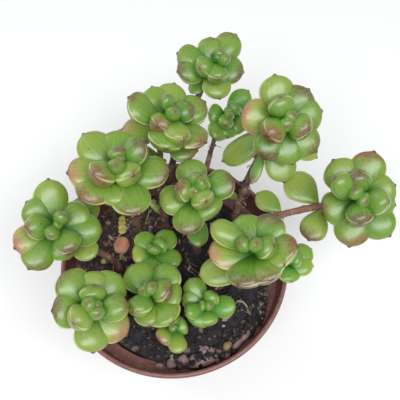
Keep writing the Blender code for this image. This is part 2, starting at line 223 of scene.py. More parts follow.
# The stems, in the model's stretches and this script's finer rows, and their leaf scars
STEM_TAPER = 0.38
STEM_RISE = 0.5
STEM_FALL = 0.2
STEM_FOOT = 1.0
STEM_STRAIGHT = 1.5
STEM_STRETCHES = 5
STEM_ROWS = 90
STEM_STEPS = 22
STEM_WAVE = 0.06
STEM_WAVE_LENGTH = 3.1
BURIED_SHARE = 0.9
BARK_ROUGHNESS = 0.05
SCAR_SPACING = 2.6
SCAR_STRAY = 0.5
SCAR_TURN = 137.5
SCAR_HEIGHT = 0.34
SCAR_SIZE = (1.3, 0.8)
HOLLOW_DEPTH = 0.22
HOLLOW_RISE = 0.25
HOLLOW_SIZE = (0.6, 0.35)
TAN_STEMS = ("04",)

# Roots in the air and papery scales: what each stem has, and what the withered ones have as well
Trim = namedtuple(
    "Trim", "roots root_stretch root_radius root_light scales scale_stretch scale_size scale_light"
)
TRIMS = [
    Trim(5, (0.1, 0.7), 0.17, (0.4, 1.0), 24, (0.02, 0.85), 1.0, (0.0, 0.9)),
    Trim(5, (0.08, 0.45), 0.34, (0.7, 1.0), 34, (0.10, 0.55), 1.7, (0.0, 0.6)),
]
WITHERED = ("02", "03", "06")
TRIM_SEAT = 0.8
ROOT_LENGTHS = (2.5, 6.0)
ROOT_DROOPS = (0.3, 0.9)
ROOT_SWAY = 0.5
ROOT_BEND = 0.35
ROOT_POINTS = 9
SCALE_SIZES = ((0.5, 1.2), (0.4, 0.9), (0.12, 0.3))
SCALE_REACH = 0.35

# The rings of leaves in a head: the depth of their roots below the head's top, their width and their
# thickness, all as shares of the shoot's leaf size
Whorl = namedtuple("Whorl", "name depth width thickness")
WHORLS = [
    Whorl("outer", 0.42, 0.78, 0.42),
    Whorl("middle", 0.22, 0.58, 0.50),
    Whorl("inner", 0.05, 0.36, 0.32),
]

# How the end of a leaf has aged: how brown it is, how red that brown is, and how yellow the leaf is
Look = namedtuple("Look", "brown red yellow")
LOOKS = {
    "fresh": Look(0.0, 0.0, 0.0),
    "pale": Look(0.0, 0.2, 0.55),
    "olive": Look(0.3, 0.1, 0.45),
    "brown": Look(0.65, 0.4, 0.2),
    "purple": Look(0.85, 0.1, 0.05),
    "red": Look(0.8, 1.0, 0.25),
    "orange": Look(0.4, 0.7, 1.0),
    "yellow": Look(0.15, 0.3, 0.8),
    "spent": Look(0.95, 0.35, 0.82),
}

# How far the looks of a head's leaves vary where none is named
PLAIN_LOOK = Look(0.42, 0.4, 0.3)

# One row a shoot: where it leaves the soil (x, y), the top of its head (x, y, z), how far the head
# leans in degrees and towards which direction, the size of its leaves, the stem's radius, how wide
# its outer, middle and inner leaves open in degrees, and the bearing, the length and, where it has
# aged, the look of each leaf.
Shoot = namedtuple("Shoot", "name root head lean towards leaf stem openings outer middle inner")
SHOOTS = [
    Shoot("01", (0, 34), (36, 84, 114), 20, 295, 18, 1.9, (85, 55, 30),
          outer=[(45, 21, "brown"), (85, 15, "brown"), (155, 19), (185, 19, "purple"),
                 (340, 16, "purple"), (270, 18, "olive")],
          middle=[(205, 13), (265, 14)],
          inner=[(50, 7), (325, 10)]),
    Shoot("02", (-1, 22), (10, 54, 119), 20, 0, 20, 1.9, (70, 65, 30),
          outer=[(155, 22, "brown"), (110, 19), (75, 21, "olive"), (25, 22, "brown"), (280, 18),
                 (255, 20), (315, 22, "red")],
          middle=[(20, 13, "purple"), (225, 12, "red"), (275, 19, "olive")],
          inner=[(140, 11), (250, 12)]),
    Shoot("03", (32, 18), (57, 37, 125), 30, 270, 20, 1.9, (85, 45, 25),
          outer=[(90, 21, "olive"), (40, 19, "purple"), (5, 19), (160, 19, "orange"),
                 (235, 19, "purple"), (275, 20), (310, 21, "brown")],
          middle=[(100, 14), (210, 16, "red"), (325, 15, "brown")],
          inner=[(260, 7), (25, 7)]),
    Shoot("04", (30, 10), (83, 3, 107), 25, 240, 20, 1.9, (85, 50, 25),
          outer=[(60, 23, "red"), (110, 21, "olive"), (10, 18), (340, 17), (300, 22), (250, 22, "red"),
                 (195, 17, "brown")],
          middle=[(130, 18), (82, 15, "purple"), (340, 16), (260, 15, "purple")],
          inner=[(320, 7), (115, 9)]),
    Shoot("05", (-14, 24), (-16, 31, 123), 10, 340, 21, 1.9, (80, 50, 30),
          outer=[(125, 23, "olive"), (80, 20), (180, 22, "orange"), (215, 22, "red"), (265, 18),
                 (285, 24, "brown"), (350, 23, "brown")],
          middle=[(25, 17, "purple"), (215, 18, "red"), (300, 13, "olive")],
          inner=[(95, 8, "brown"), (255, 13)]),
    Shoot("06", (12, 9), (14, 19, 110), 10, 250, 18, 1.9, (80, 40, 25),
          outer=[(90, 17), (10, 19, "purple"), (300, 14), (245, 20, "brown"), (185, 17, "olive")],
          middle=[(175, 11, "red"), (50, 10), (295, 14, "olive")],
          inner=[(260, 6, "olive"), (10, 10)]),
    Shoot("07", (-26, 6), (-47, 15, 107), 25, 305, 19, 1.9, (80, 60, 35),
          outer=[(90, 22, "olive"), (130, 17), (200, 20, "orange"), (230, 22, "brown"), (285, 16),
                 (345, 21), (15, 17)],
          middle=[(175, 15, "brown"), (295, 16, "brown")],
          inner=[(50, 9), (235, 10)]),
    Shoot("08", (-24, -10), (-34, -24, 109), 25, 330, 19, 1.9, (85, 55, 30),
          outer=[(120, 19, "brown"), (70, 16, "olive"), (40, 19), (175, 16, "brown"), (265, 18, "olive"),
                 (315, 19, "orange")],
          middle=[(345, 16, "brown"), (210, 14, "olive"), (85, 10)],
          inner=[(165, 8), (265, 8)]),
    Shoot("09", (-10, -14), (-13, -17, 98), 10, 120, 18, 1.9, (75, 60, 30),
          outer=[(112, 17), (36, 17), (265, 16, "olive"), (295, 19), (340, 15)],
          middle=[(240, 15), (340, 12, "brown")],
          inner=[(250, 6), (320, 8)]),
    Shoot("10", (24, -8), (32, -12, 114), 15, 140, 19, 1.9, (70, 55, 30),
          outer=[(170, 20, "orange"), (95, 18), (40, 19, "purple"), (340, 20, "red"), (283, 19, "brown"),
                 (240, 20, "purple"), (310, 17, "olive")],
          middle=[(143, 21, "olive"), (330, 12)],
          inner=[(200, 9), (298, 10)]),
    Shoot("11", (-8, 2), (-8, 4, 88), 15, 25, 13, 1.5, (80, 50, 25),
          outer=[(110, 13), (45, 16), (340, 14), (175, 10, "yellow"), (260, 9)],
          middle=[(35, 8)],
          inner=[(215, 6), (285, 6)]),
    Shoot("12", (12, -18), (10, -25, 85), 10, 250, 13, 1.5, (80, 50, 25),
          outer=[(110, 15), (350, 14), (265, 9), (225, 10), (135, 12)],
          middle=[(195, 12), (40, 9)],
          inner=[(345, 6), (170, 4)]),
    Shoot("13", (-10, -29), (-5, -30, 78), 10, 320, 11, 1.2, (75, 45, 20),
          outer=[(212, 9, "orange"), (275, 12, "yellow"), (15, 7)],
          middle=[(95, 6)],
          inner=[(190, 3)]),
    Shoot("14", (14, 20), (39, 64, 97), 25, 300, 14, 1.5, (80, 50, 25),
          outer=[(40, 18), (165, 10), (260, 12), (230, 15), (315, 12)],
          middle=[(40, 8), (235, 10)],
          inner=[(130, 5), (230, 8)]),
    Shoot("15", (34, -8), (50, -13, 92), 15, 5, 13, 1.5, (80, 50, 25),
          outer=[(20, 15), (345, 13, "pale"), (270, 10), (180, 9), (75, 11)],
          middle=[(350, 7)],
          inner=[(210, 5)]),
]

# Single leaves on the bare stretches of stem: the stem, how far along it, the leaf's tip (x, y, z),
# its width and its look
StemLeaf = namedtuple("StemLeaf", "name shoot along tip width look")
STEM_LEAVES = [
    StemLeaf("leaf", "01", 0.80, (22, 79, 98), 8, "fresh"),
    StemLeaf("leaf_a", "02", 0.80, (-14, 59, 106), 16, "orange"),
    StemLeaf("leaf_b", "02", 0.74, (20, 44, 100), 16, "brown"),
    StemLeaf("leaf_c", "02", 0.14, (-6, 33, 81), 4.4, "yellow"),
    StemLeaf("leaf_d", "02", 0.60, (-7, 46, 98), 14, "orange"),
    StemLeaf("leaf_a", "03", 0.66, (30.5, 41.5, 91), 14, "pale"),
    StemLeaf("leaf_b", "03", 0.68, (56, 21.5, 96.5), 15, "olive"),
    StemLeaf("leaf_c", "03", 0.55, (41, 24, 96), 5, "purple"),
    StemLeaf("leaf_d", "03", 0.80, (73, 29, 101), 12, "yellow"),
    StemLeaf("leaf_e", "03", 0.20, (32, 30, 80), 4, "pale"),
    StemLeaf("leaf_c", "04", 0.54, (60, 29.5, 90), 15.5, "yellow"),
    StemLeaf("leaf_d", "04", 0.36, (44, 24, 87), 10.5, "pale"),
    StemLeaf("leaf_e", "04", 0.55, (62, -4, 85), 13, "spent"),
    StemLeaf("leaf", "06", 0.60, (12, 1, 88), 9, "fresh"),
    StemLeaf("leaf_a", "07", 0.70, (-30, 33, 92), 14, "fresh"),
    StemLeaf("leaf_b", "07", 0.57, (-34, 5, 89), 11, "yellow"),
    StemLeaf("leaf", "10", 0.85, (9, -15, 97), 14, "pale"),
]

# Leaves that have dropped on the soil: root (x, y), tip (x, y), width and thickness
Fallen = namedtuple("Fallen", "name root tip width thickness")
FALLEN = [
    Fallen("fallen_leaf_pink", (-26, 14), (-22, 22), 7.6, 3.0),
    Fallen("fallen_leaf_yellow", (-23, 24), (-22, 34), 5, 2.4),
    Fallen("fallen_bud", (-35, 11), (-29, 14), 3.4, 2.2),
]

# Stones and flakes that show on the soil: the middle (x, y), the length, width and height, the bearing
# in degrees, how pale it is and how yellow
Chip = namedtuple("Chip", "place sizes bearing pale yellow")
CHIPS = [
    Chip((6.4, -39.8), (4.6, 4.2, 2.6), 20, 0.65, 0.0),
    Chip((9.6, -41.0), (3.2, 2.4, 2.0), 70, 0.45, 0.0),
    Chip((17.3, -40.3), (4.2, 3.6, 2.8), 50, 0.4, 0.7),
    Chip((6, -45.2), (11.0, 3.4, 2.6), 8, 0.95, 0.0),
    Chip((16.4, -43.8), (5.0, 2.8, 2.4), 20, 0.75, 0.0),
    Chip((22.4, -40.0), (6.0, 2.6, 2.6), 28, 0.8, 0.0),
    Chip((26.6, -36.8), (5.6, 2.6, 2.8), 44, 0.9, 0.0),
    Chip((13.0, -41.6), (2.6, 2.0, 1.8), 0, 0.3, 0.0),
    Chip((17.4, -30.1), (1.8, 1.6, 1.4), 0, 1.0, 0.1),
    Chip((19.7, -27.4), (4.6, 1.8, 1.4), 5, 0.6, 0.1),
    Chip((-9, -43.4), (3.8, 4.8, 3.2), 0, 0.35, 0.0),
    Chip((-3.4, -42.4), (5.0, 4.2, 3.2), 30, 0.35, 0.0),
    Chip((-14.5, -43.2), (4.0, 3.0, 2.4), -20, 0.5, 0.0),
    Chip((1.2, -42.6), (3.6, 3.0, 2.4), 60, 0.3, 0.0),
    Chip((-1.2, -38.2), (3.2, 2.4, 1.8), 15, 0.2, 0.0),
    Chip((11.6, -45.6), (3.0, 2.2, 2.0), 15, 0.55, 0.0),
    Chip((-24, -33), (3.2, 2.6, 1.8), 10, 0.15, 0.0),
    Chip((31, -27), (2.6, 2.0, 1.2), 70, 0.15, 0.2),
    Chip((38, -12), (3.0, 2.2, 1.4), 80, 0.2, 0.1),
    Chip((-6, 28.3), (1.2, 1.0, 0.8), 0, 1.0, 0.3),
    Chip((-28, 8.4), (2.6, 1.6, 0.8), 40, 0.6, 0.7),
]

# Threads that show on the soil: their radius, and the points that they pass over (x, y)
Thread = namedtuple("Thread", "radius places")
THREADS = [
    Thread(0.55, [(24.2, -21.4), (26.0, -20.2), (28.2, -20.8), (29.8, -23.0), (30.2, -25.8)]),
    Thread(0.42, [(-18.1, 33.9), (-18.0, 31.6), (-17.0, 29.6), (-14.7, 28.9)]),
    Thread(0.34, [(-7.1, 36.7), (-8.8, 32.0), (-11.4, 27.8)]),
    Thread(0.35, [(-33.0, 36.2), (-31.6, 35.4), (-30.2, 34.4)]),
    Thread(0.18, [(3.9, 5.3), (6.5, 3.2), (8.2, -0.4), (12.6, -4.1)]),
    Thread(0.18, [(2.0, 8.0), (5.0, 6.8), (7.8, 2.6), (11.0, 1.2)]),
    Thread(0.16, [(4.5, 2.6), (5.6, -1.0), (8.6, -2.4), (9.4, -5.6)]),
    Thread(0.20, [(-30.5, 27.0), (-27.5, 22.0), (-24.0, 17.5)]),
    Thread(0.22, [(-20.5, 38.0), (-22.6, 35.2), (-21.0, 32.8), (-19.8, 34.6)]),
]

# How old the leaves of a ring look, from 0 to 1
AGES = {"outer": 1.0, "middle": 0.6, "inner": 0.2}

# The colours, by names in plain words
COLOURS = {
    "floor": (0.93, 0.93, 0.93),
    "inner leaf": (0.034, 0.205, 0.018),
    "outer leaf": (0.086, 0.232, 0.014),
    "inner young leaf": (0.044, 0.270, 0.022),
    "outer young leaf": (0.078, 0.300, 0.018),
    "olive": (0.22, 0.33, 0.030),
    "yellowed": (0.36, 0.41, 0.070),
    "peach": (0.47, 0.21, 0.12),
    "browned leaf": (0.120, 0.050, 0.038),
    "reddened leaf": (0.26, 0.055, 0.042),
    "dark speck": (0.055, 0.020, 0.020),
    "spot": (0.09, 0.035, 0.02),
    "pore": (0.34, 0.50, 0.16),
    "pale line": (0.27, 0.43, 0.09),
    "dark line": (0.022, 0.11, 0.010),
    "bloom": (0.23, 0.41, 0.08),
    # painted rim light along the leaves' edges
    "rim_light": (0.66, 0.61, 0.29),
    # painted shade at the leaves' roots
    "root_shade": (0.022, 0.135, 0.014),
    "bud tip": (0.20, 0.125, 0.055),
    "point": (0.12, 0.04, 0.02),
    "dark bark": (0.055, 0.022, 0.022),
    "bark": (0.17, 0.085, 0.055),
    "bark flake": (0.30, 0.20, 0.14),
    "tan bark": (0.34, 0.17, 0.11),
    "green bark": (0.24, 0.27, 0.07),
    "scar": (0.40, 0.28, 0.19),
    "wet mix": (0.013, 0.013, 0.018),
    "pale wet mix": (0.034, 0.026, 0.028),
    "dry mix": (0.045, 0.024, 0.026),
    "pale dry mix": (0.100, 0.056, 0.054),
    "brown crumb": (0.105, 0.060, 0.058),
    "olive crumb": (0.090, 0.080, 0.045),
    "white crumb": (0.32, 0.27, 0.25),
    "grit": (0.11, 0.085, 0.080),
    "dark stone": (0.13, 0.085, 0.085),
    "pale stone": (0.46, 0.29, 0.28),
    "yellow stone": (0.36, 0.24, 0.07),
    "stone cloud": (0.16, 0.07, 0.07),
    "stone dust": (0.55, 0.47, 0.44),
    "rotten litter": (0.045, 0.022, 0.024),
    "brown litter": (0.17, 0.10, 0.075),
    "pale litter": (0.46, 0.37, 0.24),
    "litter grain": (0.10, 0.055, 0.05),
    "dark plastic": (0.160, 0.052, 0.045),
    "pale plastic": (0.220, 0.080, 0.070),
    "pot dust": (0.40, 0.26, 0.24),
    "dark pink": (0.48, 0.19, 0.12),
    "light pink": (0.64, 0.33, 0.18),
    "rim pink": (0.78, 0.48, 0.38),
    "dark yellow": (0.42, 0.37, 0.08),
    "light yellow": (0.66, 0.60, 0.18),
    "rim yellow": (0.72, 0.66, 0.30),
}

# Sockets of the colour Mix node, which share their names with others
MIX_FACTOR = 0
MIX_FIRST = 6
MIX_SECOND = 7
MIX_RESULT = 2

rng = np.random.default_rng(SEED)
noise.seed_set(SEED)


class Shader:
    """A procedural material, with short names for the nodes that it is made from."""

    def __init__(self, name, colour=None):
        self.material = bpy.data.materials.new(name)
        self.material.use_nodes = True
        self.tree = self.material.node_tree
        self.surface = self.tree.nodes["Principled BSDF"]
        coordinates = self.node("TexCoord")
        self.place = coordinates.outputs["Object"]
        self.normal = coordinates.outputs["Normal"]
        self.colour = colour

    def put(self, socket, value):
        """Give a socket another node's output, a colour by its name, or a plain value."""
        if isinstance(value, bpy.types.NodeSocket):
            self.tree.links.new(value, socket)
        elif isinstance(value, str):
            socket.default_value = (*COLOURS[value], 1.0)
        else:
            socket.default_value = value

    def node(self, kind, settings=None, inputs=None):
        node = self.tree.nodes.new("ShaderNode" + kind)
        for name, value in (settings or {}).items():
            setattr(node, name, value)
        for name, value in (inputs or {}).items():
            self.put(node.inputs[name], value)
        return node

    def field(self, name):
        return self.node("Attribute", {"attribute_name": name}).outputs["Fac"]

    def noise(self, scale, detail=2.0, roughness=0.5, place=None):
        inputs = {"Vector": place or self.place, "Scale": scale, "Detail": detail, "Roughness": roughness}
        return self.node("TexNoise", inputs=inputs).outputs["Fac"]

    def streaks(self, across, along, scale):
        """Noise that is drawn out along a leaf, by its own fields."""
        upper = self.times(self.field("upper"), scale)
        inputs = {"X": self.times(across, scale), "Y": along, "Z": upper}
        place = self.node("CombineXYZ", inputs=inputs).outputs["Vector"]
        return self.noise(1.0, 3.0, 0.6, place)

    def cells(self, scale):
        inputs = {"Vector": self.place, "Scale": scale}
        return self.node("TexVoronoi", inputs=inputs).outputs["Distance"]

    def math(self, operation, first, second=0.0):
        return self.node("Math", {"operation": operation}, {0: first, 1: second}).outputs[0]

    def add(self, first, second):
        return self.math("ADD", first, second)

    def times(self, first, second):
        return self.math("MULTIPLY", first, second)

    def step(self, value, low, high):
        """0 below low, 1 above high, and a smooth rise between them."""
        inputs = {"Value": value, "From Min": low, "From Max": high}
        return self.node("MapRange", {"interpolation_type": "SMOOTHSTEP"}, inputs).outputs["Result"]

    def span(self, value, low, high):
        """A value from 0 to 1, spread from low to high."""
        inputs = {"Value": value, "To Min": low, "To Max": high}
        return self.node("MapRange", {}, inputs).outputs["Result"]

    def mix(self, factor, first, second):
        node = self.node("Mix", {"data_type": "RGBA"})
        self.put(node.inputs[MIX_FACTOR], factor)
        self.put(node.inputs[MIX_FIRST], first)
        self.put(node.inputs[MIX_SECOND], second)
        return node.outputs[MIX_RESULT]

    def tint(self, colour, factor, share=1.0):
        """Lay a colour over the one so far, by a factor and by a share of it."""
        if share != 1.0:
            factor = self.times(factor, share)
        self.colour = self.mix(factor, self.colour, colour)

    def stain(self, colour, value, low, high, share=1.0):
        """Lay a colour over the one so far where a value rises from low to high."""
        self.tint(colour, self.step(value, low, high), share)

    def bump(self, height, depth, strength=1.0):
        inputs = {"Height": height, "Distance": depth * MM, "Strength": strength}
        normal = self.node("Bump", inputs=inputs).outputs["Normal"]
        self.put(self.surface.inputs["Normal"], normal)

    def finish(self, **values):
        """Put the colour and other values on the surface's own sockets: Coat_Weight is Coat Weight."""
        for name, value in {"Base_Color": self.colour, **values}.items():
            self.put(self.surface.inputs[name.replace("_", " ")], value)
        return self.material


class Heap:
    """Shapes gathered into one mesh, with fields on their points that the materials read."""

    def __init__(self):
        self.points = []
        self.faces = []
        self.fields = {}
        self.count = 0

    def add(self, points, faces, **fields):
        points = np.asarray(points, float)
        self.points.append(points)
        self.faces += [tuple(index + self.count for index in face) for face in faces]
        for name, values in fields.items():
            whole = np.broadcast_to(np.asarray(values, np.float32), (len(points),))
            self.fields.setdefault(name, []).append(whole)
        self.count += len(points)

    def item(self, name):
        mesh = bpy.data.meshes.new(name)
        mesh.from_pydata((np.concatenate(self.points) * MM).tolist(), [], self.faces)
        for field, values in self.fields.items():
            layer = mesh.attributes.new(field, "FLOAT", "POINT")
            layer.data.foreach_set("value", np.concatenate(values))
        item = bpy.data.objects.new(name, mesh)
        bpy.context.scene.collection.objects.link(item)
        return item

    def build(self, name, material, replaced=(), smooth=True):
        """A piece that rides on the root and, where it replaces nodes, stands for them."""
        item = self.item(name)
        item.data.materials.append(material)
        if smooth:
            item.data.shade_smooth()
        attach(item, "root")
        if replaced:
            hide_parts(*replaced)
        return item


def tube_faces(rings, steps):
    """Faces of a closed tube: rings of points one after another, then its two end points."""
    faces = []
    beside = [*range(1, steps), 0]
    for low in range(0, (rings - 1) * steps, steps):
        high = low + steps
        for step, other in enumerate(beside):
            faces.append((low + step, low + other, high + other, high + step))
    last = (rings - 1) * steps
    for step, other in enumerate(beside):
        faces.append((rings * steps, other, step))
        faces.append((rings * steps + 1, last + step, last + other))
    return faces


def even_turn(steps):
    """Angles once round, evenly spaced."""
    return np.arange(steps) * 2 * math.pi / steps


def around(angle, reach=1.0):
    """How far across and up a reach at an angle goes."""
    return reach * math.cos(angle), reach * math.sin(angle)


def spread(values, shape, ends=(0.0, 0.0)):
    """A field for rows of points, and its values at the two end points."""
    return np.append(np.broadcast_to(values, shape).ravel(), ends)


def clamp(value):
    return min(1.0, max(0.0, value))


# Leaves

Leaf = namedtuple("Leaf", "root tip upper width thickness age look lone", defaults=(0.0,))


def margin_angles():
    """Angles around a leaf's section, closer together at its two margins."""
    even = even_turn(LEAF_STEPS)
    return even - MARGIN_CROWDING / 2 * np.sin(2 * even)


def ring_places():
    """How far along a leaf its rings of points lie, closer together at both ends."""
    even = np.arange(1, LEAF_RINGS + 1) / (LEAF_RINGS + 1)
    return even ** RING_CROWDING / (even ** RING_CROWDING + (1 - even) ** RING_CROWDING)


LEAF_FACES = tube_faces(LEAF_RINGS, LEAF_STEPS)
ANGLES = margin_angles()
PLACES = ring_places()


def swell(u, rise, fall):
    """How full a leaf is at a fraction of the way from its root to its tip, 1 at its fullest."""
    fullest = rise / (rise + fall)
    return (u / fullest) ** rise * ((1 - u) / (1 - fullest)) ** fall


def unevenness(u):
    """How much wider or narrower than its even form a leaf is, in waves that differ from leaf to leaf."""
    phase = rng.uniform(0, 2 * math.pi, 3)
    uneven = 1 + WAVE_ALONG * np.sin(5 * u + phase[0])
    uneven = uneven + WAVE_AROUND * np.sin(2 * ANGLES + 7 * u + phase[1])
    return uneven + WAVE_FINE * np.sin(5 * ANGLES - 11 * u + phase[2])


def add_leaf(heap, leaf):
    """A thick spoon-shaped leaf with fine raised margins and a small point."""
    along = leaf.tip - leaf.root
    length = along.length
    along.normalize()
    side = leaf.upper.cross(along).normalized()
    face = along.cross(side)
    u = PLACES[:, None]
    outline = swell(u, OUTLINE_RISE, OUTLINE_FALL)
    depth = swell(u, DEPTH_RISE, DEPTH_FALL)
    nib = np.exp(-(outline / NIB_WIDTH) ** 2) * (u > 0.5)
    reach = length * ((1 - LEAF_NIB) * u + LEAF_NIB * nib)
    bow = -LEAF_BOW * length * 4 * u * (1 - u)
    across = np.cos(ANGLES)[None, :]
    height = np.sin(ANGLES)[None, :]
    uneven = unevenness(u)
    edge = np.exp(-((height - MARGIN_HEIGHT) / MARGIN_WIDTH) ** 2)
    fullness = np.where(height > 0, UPPER_FULLNESS, LOWER_FULLNESS)
    wide = leaf.width / 2 * outline * across * uneven * (1 + MARGIN_RISE * leaf.age * edge)
    thick = leaf.thickness / 2 * depth * height * fullness * uneven + bow
    lengthwise = np.broadcast_to(reach, wide.shape)
    points = (
        np.array(leaf.root) + lengthwise[..., None] * np.array(along)
        + wide[..., None] * np.array(side) + thick[..., None] * np.array(face)
    ).reshape(-1, 3)
    heap.add(
        np.vstack([points, leaf.root, leaf.tip]), LEAF_FACES,
        along=spread(u, wide.shape, (0.0, 1.0)),
        edge=spread(edge, wide.shape),
        upper=spread(height, wide.shape),
        side=spread(across * rng.choice((-1, 1)), wide.shape),
        age=leaf.age, brown=leaf.look.brown, red=leaf.look.red, yellow=leaf.look.yellow, lone=leaf.lone,
    )


def head_axis(shoot):
    lean = math.radians(shoot.lean)
    return Vector((*around(math.radians(shoot.towards), math.sin(lean)), math.cos(lean)))


def plain_look(age):
    """The look of a leaf that isn't marked by age: a little uneven, and more so where it is older."""
    brown, red, yellow = rng.uniform(0, 1, 3)
    return Look(PLAIN_LOOK.brown * brown * age, PLAIN_LOOK.red * red, PLAIN_LOOK.yellow * yellow * age)


def head_leaf(shoot, bearing, opening, length, depth, width, thickness, age, look):
    """One leaf of a head, by its bearing around the head's axis and how wide it opens."""
    axis = head_axis(shoot)
    reference = (Vector((1, 0, 0)) - axis.x * axis).normalized()
    forward, sideways = around(math.radians(bearing))
    outward = forward * reference + sideways * axis.cross(reference)
    rise, reach = around(math.radians(opening))
    root = Vector(shoot.head) - depth * shoot.leaf * axis
    tip = root + length * (rise * axis + reach * outward)
    upper = reach * axis - rise * outward
    return Leaf(root, tip, upper, width * shoot.leaf, thickness * shoot.leaf, age, look)


def head_leaves(shoot):
    """The leaves of a head: three rings and the bud."""
    for whorl, opening in zip(WHORLS, shoot.openings):
        for bearing, length, *named in getattr(shoot, whorl.name):
            age = AGES[whorl.name]
            look = LOOKS[named[0]] if named else plain_look(age)
            sizes = (length, whorl.depth, whorl.width, whorl.thickness)
            yield head_leaf(shoot, bearing, opening, *sizes, age, look)
    sizes = (BUD_LENGTH * shoot.leaf, 0, BUD_WIDTH, BUD_WIDTH)
    yield head_leaf(shoot, 0, BUD_OPENING, *sizes, 0.0, LOOKS["fresh"])


def make_head(shoot, material):
    heap = Heap()
    for leaf in head_leaves(shoot):
        add_leaf(heap, leaf)
    axis = head_axis(shoot)
    low = Vector(shoot.head) - (HEAD_DEPTH * shoot.leaf + CORE_BELOW) * axis
    high = Vector(shoot.head) + CORE_ABOVE * axis
    rows = np.linspace(0, 1, CORE_RINGS)
    radii = shoot.stem * (CORE_FOOT + (CORE_TOP - CORE_FOOT) * rows)
    points, faces = tube([low.lerp(high, row) for row in rows], radii, CORE_STEPS)
    heap.add(points, faces, age=1.0, **dict.fromkeys(CORE_PLAIN_FIELDS, 0.0))
    return heap.build(f"rosette_{shoot.name}", material, [f"shoot_{shoot.name}_head"])


# Stems

def crossways_along(path):
    """For each point of a path, two directions across it that don't twist as it bends."""
    points = [Vector(point) for point in path]
    directions = []
    for index in range(len(points)):
        before = points[max(0, index - 1)]
        after = points[min(len(points) - 1, index + 1)]
        directions.append((after - before).normalized())
    first = directions[0].orthogonal().normalized()
    for direction in directions:
        first = (first - first.dot(direction) * direction).normalized()
        yield first, direction.cross(first)


def tube(path, radii, steps):
    """A closed round tube. The radii are one a ring, or one a point in rows of rings."""
    radii = np.asarray(radii, float)
    if radii.ndim == 1:
        radii = np.repeat(radii[:, None], steps, axis=1)
    angles = even_turn(steps)
    rings = []
    for point, (first, second), row in zip(path, crossways_along(path), radii):
        spokes = np.cos(angles)[:, None] * np.array(first) + np.sin(angles)[:, None] * np.array(second)
        rings.append(np.array(point) + row[:, None] * spokes)
    points = np.vstack(rings + [np.array(path[0])[None], np.array(path[-1])[None]])
    return points, tube_faces(len(path), steps)


def stem_curve(shoot):
    """The stem's line as a function from 0 at the soil to 1 at the head."""
    axis = head_axis(shoot)
    tip = Vector(shoot.head) - (HEAD_DEPTH * shoot.leaf + CORE_BELOW + GAP) * axis
    start = Vector((*shoot.root, SOIL_TOP + STEM_FOOT))
    end = tip - STEM_STRAIGHT * axis
    reach = (end - start).length
    rise = start + Vector((0, 0, STEM_RISE * reach))
    fall = end - STEM_FALL * reach * axis

    def place(t):
        return (
            (1 - t) ** 3 * start + 3 * (1 - t) ** 2 * t * rise
            + 3 * (1 - t) * t ** 2 * fall + t ** 3 * end
        )

    return place, tip


def stem_radius(shoot, along):
    """The stem's radius at a fraction of the way from the soil to the head."""
    return shoot.stem * (1 - STEM_TAPER * max(0.0, along))


def swelling(away, up, size):
    """1 in the middle and less with the distance around and along a stem, over a width and a height."""
    return np.exp(-(away / size[0]) ** 2 - (up / size[1]) ** 2)


def add_scars(shoot, radii, reach):
    """Raise a spiral of leaf scars on the bark, each with a hollow, and return where they are."""
    angles = even_turn(STEM_STEPS)
    scars = np.zeros_like(radii)
    for index in range(int((reach[-1] - HOLE_DEPTH) / SCAR_SPACING)):
        at = HOLE_DEPTH + SCAR_SPACING * (index + 0.5) + rng.uniform(-SCAR_STRAY, SCAR_STRAY)
        bearing = math.radians(shoot.towards + SCAR_TURN * index)
        turn = np.cos(angles - bearing)
        away = np.arccos(np.clip(turn, -1, 1))[None, :] * shoot.stem
        up = (reach - at)[:, None]
        bulge = swelling(away, up, SCAR_SIZE)
        radii += SCAR_HEIGHT * bulge - HOLLOW_DEPTH * swelling(away, up - HOLLOW_RISE, HOLLOW_SIZE)
        scars = np.maximum(scars, bulge)
    return scars


def make_stem(shoot, material):
    """A woody stem with rough bark and leaf scars."""
    place, tip = stem_curve(shoot)
    path = [Vector((*shoot.root, SOIL_TOP - HOLE_DEPTH))]
    path += [place(index / (STEM_ROWS - 1)) for index in range(STEM_ROWS)]
    path += [tip]
    reach = np.cumsum([0.0] + [(b - a).length for a, b in zip(path, path[1:])])
    curve_share = STEM_STRETCHES / (STEM_STRETCHES + 1)
    alongs = [0.0] + [curve_share * index / (STEM_ROWS - 1) for index in range(STEM_ROWS)] + [1.0]
    plain = np.array([stem_radius(shoot, along) for along in alongs])
    radii = np.repeat(plain[:, None], STEM_STEPS, axis=1)
    scars = add_scars(shoot, radii, reach)
    radii += rng.normal(0, BARK_ROUGHNESS, radii.shape)
    radii *= 1 + STEM_WAVE * np.sin(reach / STEM_WAVE_LENGTH + shoot.towards)[:, None]
    radii[0] = shoot.stem * BURIED_SHARE
    radii[-1] = plain[-1]
    points, faces = tube(path, radii, STEM_STEPS)
    heap = Heap()
    heap.add(
        points, faces,
        along=spread((reach / reach[-1])[:, None], radii.shape, (0.0, 1.0)),
        scar=spread(scars, radii.shape), tan=float(shoot.name in TAN_STEMS),
    )
    return heap.build(f"bark_{shoot.name}", material, [f"shoot_{shoot.name}_stem"])


def stem_path(shoot):
    """The model's coarse stem, which its single leaves grow from."""
    place, tip = stem_curve(shoot)
    points = [Vector((*shoot.root, SOIL_TOP - HOLE_DEPTH))]
    points += [place(index / STEM_STRETCHES) for index in range(STEM_STRETCHES + 1)]
    return points + [tip]


def path_point(path, along):
    position = 1 + along * (len(path) - 2)
    index = min(int(position), len(path) - 2)
    direction = (path[index + 1] - path[index]).normalized()
    return path[index].lerp(path[index + 1], position - index), direction


